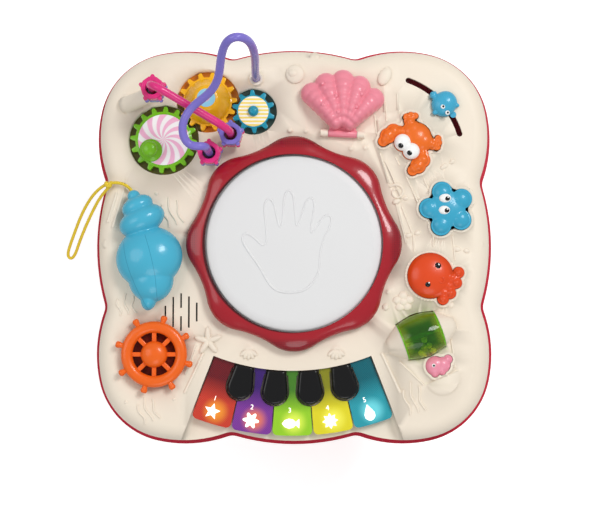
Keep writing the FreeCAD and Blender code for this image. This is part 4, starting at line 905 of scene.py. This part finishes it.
def withFoot(mesh, cadName, low=plateau + 0.4):  # the moulded cap above the plain foot and stem of the CAD node
    foot = copyOf(cadName)
    cut = bmesh.ops.bisect_plane(foot, geom=foot.verts[:] + foot.edges[:] + foot.faces[:], plane_co=(0, 0, low * mm),
                                 plane_no=(0, 0, 1), clear_outer=True)
    rim = [item for item in cut["geom_cut"] if isinstance(item, bmesh.types.BMEdge)]
    bmesh.ops.holes_fill(foot, edges=rim, sides=0)
    return joined(meshFrom(foot, 35), mesh, smooth=60)


def makeButtons():
    white = plastic("eyeWhite", (250, 250, 248), 0.22, 600, 0.01, 0.02, coat=0.5)
    black = plastic("pupilBlack", (14, 14, 16), 0.2, 600, 0.01, 0.02, coat=0.5)
    tones = {name: plastic(f"{name}Gloss", tone, 0.3, 700, 0.04, 0.07, coat=0.35) for name, tone in
             (("crab", crab["tone"]), ("star", star["tone"]), ("octopus", octopus["tone"]), ("fish", fish["tone"]))}
    low = plateau - 1
    body = [(-1, 0, 15.2, 9), (-3, 6.5, 11, 8), (-3, -6.5, 11, 8), (7, 0, 11, 8)]
    for side in (-1, 1):
        body += [(5, 14.5 * side, 5, 6), (10, 19.5 * side, 6.9, 8), (16.5, 20.6 * side, 7.3, 8.2),
                 (21.5, 19.5 * side, 6, 7), (25, 18.6 * side, 4, 5.4),
                 (-8, 15.4 * side, 5.2, 6), (-7, 21.3 * side, 3.0, 5), (-10.6, 20.4 * side, 3.1, 5.2),
                 (-13.6, 18 * side, 3.1, 5.2), (-15.4, 14.7 * side, 3.0, 5)]
    shape = cutBelow(blobs(spread(body, crab["place"], crab["turn"], low), 0.6, 12), capLow)
    linkPiece("crabCap", withFoot(shape, "crab_button", capLow + 0.2), tones["crab"], "crab", ["crab_button"])
    eyes = []
    for across in (-5.9, 5.9):
        x, y = polar(math.hypot(11.8, across), math.degrees(math.atan2(across, 11.8)) + crab["turn"], *crab["place"])
        eyes.append(eyeBall(x, y, plateau + 4.4, 8.2, 8.2, 6.6))
    linkPiece("crabEyes", joined(*eyes, smooth=80), white, "crab", ["crab_eyes"])
    dots = [eyeBall(x, y, plateau + 9.9, 2.6, 2.6, 1.3) for x, y in crab["pupils"]]
    linkPiece("crabPupils", joined(*dots, smooth=80), black, "crab")

    arms = [(0, 0, 20.5, 8.0)] + [(*polar(16.2, 34 + 72 * k), 10.3, 7.9) for k in range(5)]
    shape = cutBelow(blobs(spread(arms, star["place"], 0, low), 0.6, 16), capLow)
    linkPiece("starCap", withFoot(shape, "star_button", capLow + 0.2), tones["star"], "star", ["star_button"])
    whites = [eyeBall(x, y, plateau + 5.2, 5.9, 4.6, 3.4) for x, y in star["eyes"]]
    linkPiece("starEyes", joined(*whites, smooth=80), white, "star")
    dots = [eyeBall(x + 1.6, y - 0.4, plateau + 7.5, 2.9, 2.4, 1.4) for x, y in star["eyes"]]
    glints = [eyeBall(x + 2.6, y + 0.7, plateau + 8.6, 0.9, 0.8, 0.6) for x, y in star["eyes"]]
    linkPiece("starPupils", joined(*dots, smooth=80), black, "star")
    linkPiece("starGlints", joined(*glints, smooth=80), white, "star")

    head = [(0, 0, 21.6, 9.0), (0, 0, 14, 9.0), (27, 2.9, 5.4, 6.6), (24.8, -7, 5.4, 6.6), (19.1, -16.8, 5.4, 6.6),
            (12, -22.5, 5.4, 6.6), (21, -2, 5, 5.6), (18, -10, 5, 5.6), (13, -16, 5, 5.6)]
    shape = cutBelow(blobs(spread(head, octopus["place"], 0, low), 0.6, 10), capLow)
    linkPiece("octopusCap", withFoot(shape, "octopus_button", capLow + 0.2), tones["octopus"], "octopus",
              ["octopus_button"])
    dots = [eyeBall(x, y, plateau + 6.2, 3.1, 3.1, 1.6) for x, y in octopus["eyes"]]
    glints = [eyeBall(x + 0.9, y + 1.1, plateau + 7.6, 0.8, 0.8, 0.5) for x, y in octopus["eyes"]]
    linkPiece("octopusEyes", joined(*dots, smooth=80), black, "octopus")
    linkPiece("octopusGlints", joined(*glints, smooth=80), white, "octopus")
    x, y = octopus["mouth"]
    ring = tube([(*polar(2.8, 45 * k, x, y), plateau + 6.4) for k in range(8)], 0.9, closed=True, order=4)
    linkPiece("octopusMouth", ring, tones["octopus"], "octopus")

    discs = [(-2.6, 0.2, 8.9, 5.2), (4.3, 0, 7.2, 5), (10.0, 4.2, 3.9, 4), (9.6, -2.4, 2.6, 3.4), (-4.2, -6.8, 3.3, 3.8),
             (2.8, -5.9, 3.3, 4)]
    shape = cutBelow(blobs(spread(discs, fish["place"], fish["turn"], plateau - 1.6), 0.4, 4), plateau + 0.2)
    linkPiece("fishCap", withFoot(tucked(shape, "fish_button"), "fish_button"), tones["fish"], "fish", ["fish_button"])
    x, y = fish["eye"]
    linkPiece("fishEyeWhite", eyeBall(x, y, plateau + 3.0, 2.0, 2.0, 0.8), white, "fish")
    linkPiece("fishEye", eyeBall(x, y, plateau + 3.5, 1.1, 1.1, 0.6), black, "fish")
    return white, black


eyeWhite, pupilBlack = makeButtons()
print("buttons done")

# slider: a small round fish that runs along its curved slot
slider = {"tone": (66, 170, 206), "centre": (84.6, 84.6), "radius": 79, "rest": 40,
          "eyes": [(143.4, 131.9), (147.7, 125.9)]}


def makeSlider():
    x, y = polar(slider["radius"], slider["rest"], *slider["centre"])
    lumps = [(x, y, plateau + 1.6, 12, 12, 8.2, 0), (x + 1.5, y + 1.5, plateau + 1.6, 11.4, 11.4, 8.4, 0),
             (x - 10.4, y + 8.2, plateau + 3, 3.0, 3.6, 3.4, 40), (x - 9, y + 10.4, plateau + 3, 2.0, 2.2, 3, 0),
             (x + 11.6, y - 1.0, plateau + 3, 3.4, 2.4, 3, -20), (x - 8.6, y - 8.2, plateau + 3, 3.0, 2.4, 2.4, 0)]
    shape = cutBelow(blobs(lumps, 0.5, 5), plateau + 0.3)
    foot = copyOf("slider_fish")
    cut = bmesh.ops.bisect_plane(foot, geom=foot.verts[:] + foot.edges[:] + foot.faces[:],
                                 plane_co=(0, 0, (plateau + 1) * mm), plane_no=(0, 0, 1), clear_outer=True)
    rim = [item for item in cut["geom_cut"] if isinstance(item, bmesh.types.BMEdge)]
    bmesh.ops.holes_fill(foot, edges=rim, sides=0)
    tone = plastic("sliderGloss", slider["tone"], 0.28, 700, 0.03, 0.06, coat=0.35)
    linkPiece("sliderFish", joined(meshFrom(foot), shape, smooth=60), tone, "slider", ["slider_fish"])
    whites = [eyeBall(ex, ey, plateau + 9.0, 2.2, 2.2, 0.9) for ex, ey in slider["eyes"]]
    linkPiece("sliderEyes", joined(*whites, smooth=80), eyeWhite, "slider")
    dots = [eyeBall(ex + 0.2, ey, plateau + 9.7, 1.1, 1.1, 0.5) for ex, ey in slider["eyes"]]
    linkPiece("sliderPupils", joined(*dots, smooth=80), pupilBlack, "slider")


makeSlider()

# roller: a see-through barrel of rattling balls between two moulded domes
roller = {"place": (121.8, -88.2, 268.0), "turn": 20.2, "length": 38.5, "end": 17.5, "mid": 21.0, "wall": 1.6,
          "tone": (70, 140, 44), "edge": (176, 214, 60), "rim": (96, 196, 40), "balls": (240, 206, 60)}


def barrelPattern(tree, tone):
    along, across, _ = placeFrom(tree, *roller["place"][:2], turn=roller["turn"])
    away = calc(tree, "MAXIMUM", calc(tree, "ABSOLUTE", along), calc(tree, "ABSOLUTE", across))
    edge = tree.nodes.new("ShaderNodeMapRange")
    edge.interpolation_type = "SMOOTHSTEP"
    edge.inputs["From Min"].default_value = 9
    edge.inputs["From Max"].default_value = 18
    tree.links.new(away, edge.inputs["Value"])
    return blendTones(tree, edge.outputs[0], tone, fromScreen(*roller["edge"]))


def makeRoller():
    half = roller["length"] / 2
    lay = Matrix.Rotation(math.radians(roller["turn"]), 4, "Z") @ Matrix.Rotation(math.radians(90), 4, "Y")
    steps = 14
    outer, inner = [], []
    for k in range(steps + 1):
        share = 2 * k / steps - 1
        outer.append((roller["end"] + (roller["mid"] - roller["end"]) * (1 - share * share), share * half))
        inner.append((outer[-1][0] - roller["wall"], share * (half - roller["wall"])))
    profile = [(2.06, -half)] + outer + [(2.06, half)] + [(3.7, half - roller["wall"])] + inner[::-1]
    profile += [(3.7, -half + roller["wall"]), (3.7, -half + roller["wall"])]
    shell = [(2.06, -half)] + outer + [(2.06, half), (2.06, -half)]
    clear = plastic("rollerClear", roller["tone"], 0.12, 300, 0.01, 0.05, coat=0.6, clear=0.7, pattern=barrelPattern)
    clear.node_tree.nodes["Principled BSDF"].inputs["IOR"].default_value = 1.2
    linkPiece("rollerBarrel", lathe(shell, *roller["place"], 72, lay, 60), clear, "roller",
              ["roller_barrel"])
    # painted light: the rims carry a faint glow of their own
    edge = plastic("rollerRim", roller["rim"], 0.25, 500, 0.02, 0.05, coat=0.5, glow=0.12)
    rims = []
    for way in (-1, 1):
        ring = [(roller["end"] - 1.8, way * (half - 1.3)), (roller["end"] - 0.1, way * (half - 1.3)),
                (roller["end"] + 0.1, way * (half - 0.1)), (roller["end"] - 1.8, way * (half - 0.1)),
                (roller["end"] - 1.8, way * (half - 1.3))]
        rims.append(lathe(ring, *roller["place"], 72, lay, 40))
    linkPiece("rollerRims", joined(*rims), edge, "roller")
    builder = bmesh.new()
    bmesh.ops.create_icosphere(builder, subdivisions=3, radius=2.8 * mm)
    ball = meshFrom(builder, 80)
    balls = []
    tone = plastic("rattleBall", roller["balls"], 0.3, 500, 0.02, 0.05, coat=0.3)
    for k, lift in enumerate((0, 3, -6, 6, -3, 0, 3)):
        spot = Matrix.Translation(Vector(roller["place"]) * mm) @ lay
        x, y = polar(16.4 - 0.22 * abs(lift), 195 + 26 * k)
        copy = ball.copy()
        copy.transform(spot @ Matrix.Translation(Vector((x, y, lift)) * mm))
        balls.append(copy)
    linkPiece("rattleBalls", joined(*balls, smooth=80), tone, "roller", ["rattle_beads"])


makeRoller()
print("slider and roller done")

# wheel: a small ship's wheel that spins over a red dish, darkened with painted shade under the wheel
wheel = {"place": (-133.4, -106.0), "tone": (242, 104, 24), "dish": (118, 34, 22), "ring": 26.1, "girth": 5.5,
         "hub": 12.7, "spokes": 8, "grip": 29.6}


def makeWheel():
    x, y = wheel["place"]
    low = plateau + 3
    tone = plastic("wheelGloss", wheel["tone"], 0.3, 700, 0.04, 0.06, coat=0.3)
    ring = [(20.6, 2.2), (21.6, 0.8), (23, 0.1), (29, 0.1), (30.6, 1), (31.4, 2.6), (31.5, 5), (30.8, 7.2), (29, 8.6),
            (26, 9), (23, 8.6), (21.4, 7), (20.6, 5), (20.6, 2.2)]
    rim = lathe(ring, x, y, low, 96, smooth=60)
    hubProfile = [(4.05, -1.8), (12.4, -1.8), (12.7, -1.2), (12.7, 5), (11.8, 7.6), (9.4, 10), (5, 11.4), (0, 11.8)]
    hub = lathe(hubProfile, x, y, low - 0.1, 72, smooth=60)
    builder = bmesh.new()
    bmesh.ops.create_cube(builder, size=1, matrix=Matrix.Translation(Vector((16.6, 0, 3.6)) * mm)
                          @ Matrix.Diagonal((11 * mm, 4.3 * mm, 4.6 * mm, 1)))
    bmesh.ops.bevel(builder, geom=builder.edges[:], offset=0.9 * mm, segments=3, profile=0.6, affect="EDGES")
    spokes = repeated(meshFrom(builder), tone, wheel["spokes"], 45, 0, (x, y, low - 1))
    grip = lathe([(0, 0), (2.3, 0), (2.4, 3), (2.8, 5), (3.3, 6.6), (3.2, 8), (2.2, 9.2), (0, 9.6)], 28.5, 0, 4.6, 32,
                 Matrix.Rotation(math.radians(90), 4, "Y"), 60)
    grips = repeated(grip, tone, wheel["spokes"], 45, wheel["grip"], (x, y, low), smooth=60)
    linkPiece("shipWheel", joined(rim, hub, spokes, grips, smooth=50), tone, "ship_wheel",
              ["ship_wheel"])
    # the dish's dark red-brown is its red with painted shade under the wheel
    dressed("shadedWheelDish", ["wheel_dish"], plastic("shadedWheelDish", wheel["dish"], 0.45, 600, 0.04), "root")


makeWheel()

# lid: a ribbed clam shell on a barrel hinge, with small round bumps
lid = {"tone": (240, 142, 158), "place": (46.8, 106.2), "turn": -2.6, "barrel": 27.6,
       "lobes": [(40, 57), (21, 59), (2, 59.5), (-17, 56.5), (-39, 53)], "bumps": [(27.5, 131.5), (42.1, 124.4), (59.6, 129.4), (40.1, 140.0), (64.5, 142.1),
                                          (27.5, 152.6)]}


def heightOver(mesh, x, y, fallback):  # the top of a mesh at a spot, in mm
    near = [corner.co.z for corner in mesh.vertices if math.hypot(corner.co.x / mm - x, corner.co.y / mm - y) < 1.4]
    return max(near) / mm if near else fallback


def makeLid():
    tone = plastic("lidGloss", lid["tone"], 0.3, 700, 0.03, 0.06, coat=0.35)
    lumps = []
    for turn, length in lid["lobes"]:
        for share in (0.2, 0.34, 0.48, 0.62, 0.76, 0.88, 1.0):
            away = share * (length - 10.6) + 2
            x, y = polar(away, 90 + turn + lid["turn"], *lid["place"])
            crown = 23.2 * math.sin(math.pi * (0.16 + 0.62 * share)) ** 0.8
            wide = 4.6 + 6.4 * share
            lumps.append((x, y, plateau + crown * 0.36, wide, wide, crown * 0.64, 0))
    shell = cutBelow(blobs(lumps, 0.8, 5), plateau + 0.4)
    builder = bmesh.new()
    builder.from_mesh(shell)
    under = [face for face in builder.faces if all(corner.co.z < (plateau + 0.41) * mm for corner in face.verts)]
    bmesh.ops.delete(builder, geom=under, context="FACES")
    bmesh.ops.recalc_face_normals(builder, faces=builder.faces)
    shell = applied(meshFrom(builder, 80), ("SOLIDIFY", {"thickness": 1.9 * mm, "offset": -1.0}))
    lay = Matrix.Rotation(math.radians(lid["turn"]), 4, "Z") @ Matrix.Rotation(math.radians(90), 4, "Y")
    half = lid["barrel"] / 2
    barrel = lathe([(1.65, -half), (3.2, -half), (3.6, -half + 0.5), (3.6, half - 0.5), (3.2, half), (1.65, half),
                    (1.65, -half)], *lid["place"], plateau + 4.2, 40, lay)
    builder = bmesh.new()
    x, y = polar(4.6, 90 + lid["turn"], *lid["place"])
    spot = Matrix.Translation(Vector((x, y, plateau + 3.4)) * mm) @ Matrix.Rotation(math.radians(lid["turn"]), 4, "Z")
    bmesh.ops.create_cube(builder, size=1, matrix=spot @ Matrix.Diagonal((26 * mm, 7 * mm, 4 * mm, 1)))
    bmesh.ops.bevel(builder, geom=builder.edges[:], offset=0.8 * mm, segments=3, profile=0.6, affect="EDGES")
    neck = meshFrom(builder)
    bumps = [eyeBall(x, y, heightOver(shell, x, y, plateau + 18) - 0.2, 1.9, 1.9, 1.3) for x, y in lid["bumps"]]
    linkPiece("shellLid", joined(shell, barrel, neck, *bumps, smooth=70), tone, "shell_lid",
              ["shell_lid"])


makeLid()

# conch: the loose spiral shell, moulded in two halves
conch = {"tone": (74, 178, 208), "place": (-138.3, -12.6), "turn": 14.5, "level": 11,
         "whorls": [(59.5, 0, 6.2, 6, 6, 8), (49.5, 1, 15.6, 9.8, 13, 12), (35, 1.8, 23, 14, 17.5, 12),
                    (-1, 0, 32, 29.5, 21.5, 4), (-22, -3.5, 21.5, 22, 17, -12), (-38, -9.6, 8, 12.5, 9.5, -22)]}


def conchPattern(tree, tone):
    across, along, up = placeFrom(tree, *conch["place"], turn=conch["turn"])
    bow = calc(tree, "MULTIPLY_ADD", calc(tree, "POWER", calc(tree, "ABSOLUTE", along), 2.0), 0.0032, 0.0)
    seam = band(tree, calc(tree, "SUBTRACT", across, calc(tree, "SUBTRACT", 4.0, bow)), -0.22, 0.22, 0.12)
    side = band(tree, calc(tree, "ADD", across, calc(tree, "SUBTRACT", 20.0, bow)), -0.22, 0.22, 0.12)
    front = band(tree, along, -120, 20, 1)
    lines = calc(tree, "MULTIPLY", calc(tree, "MAXIMUM", seam, side), front)
    return blendTones(tree, calc(tree, "MULTIPLY", lines, 0.55), tone, fromScreen(20, 100, 136))


def makeConch():
    tone = plastic("conchGloss", conch["tone"], 0.24, 500, 0.02, 0.05, coat=0.4, pattern=conchPattern)
    lumps = []
    for along, across, wide, long, tall, lean in conch["whorls"]:
        x, y = polar(math.hypot(across, along), math.degrees(math.atan2(along, across)) + conch["turn"],
                     *conch["place"])
        lumps.append((x, y, plateau + conch["level"], wide, long, tall, conch["turn"] + lean))
    shell = cutBelow(blobs(lumps, 0.8, 4), plateau + 0.4)
    linkPiece("looseShell", shell, tone, "conch", ["conch"])


makeConch()
print("wheel, lid and shell done")
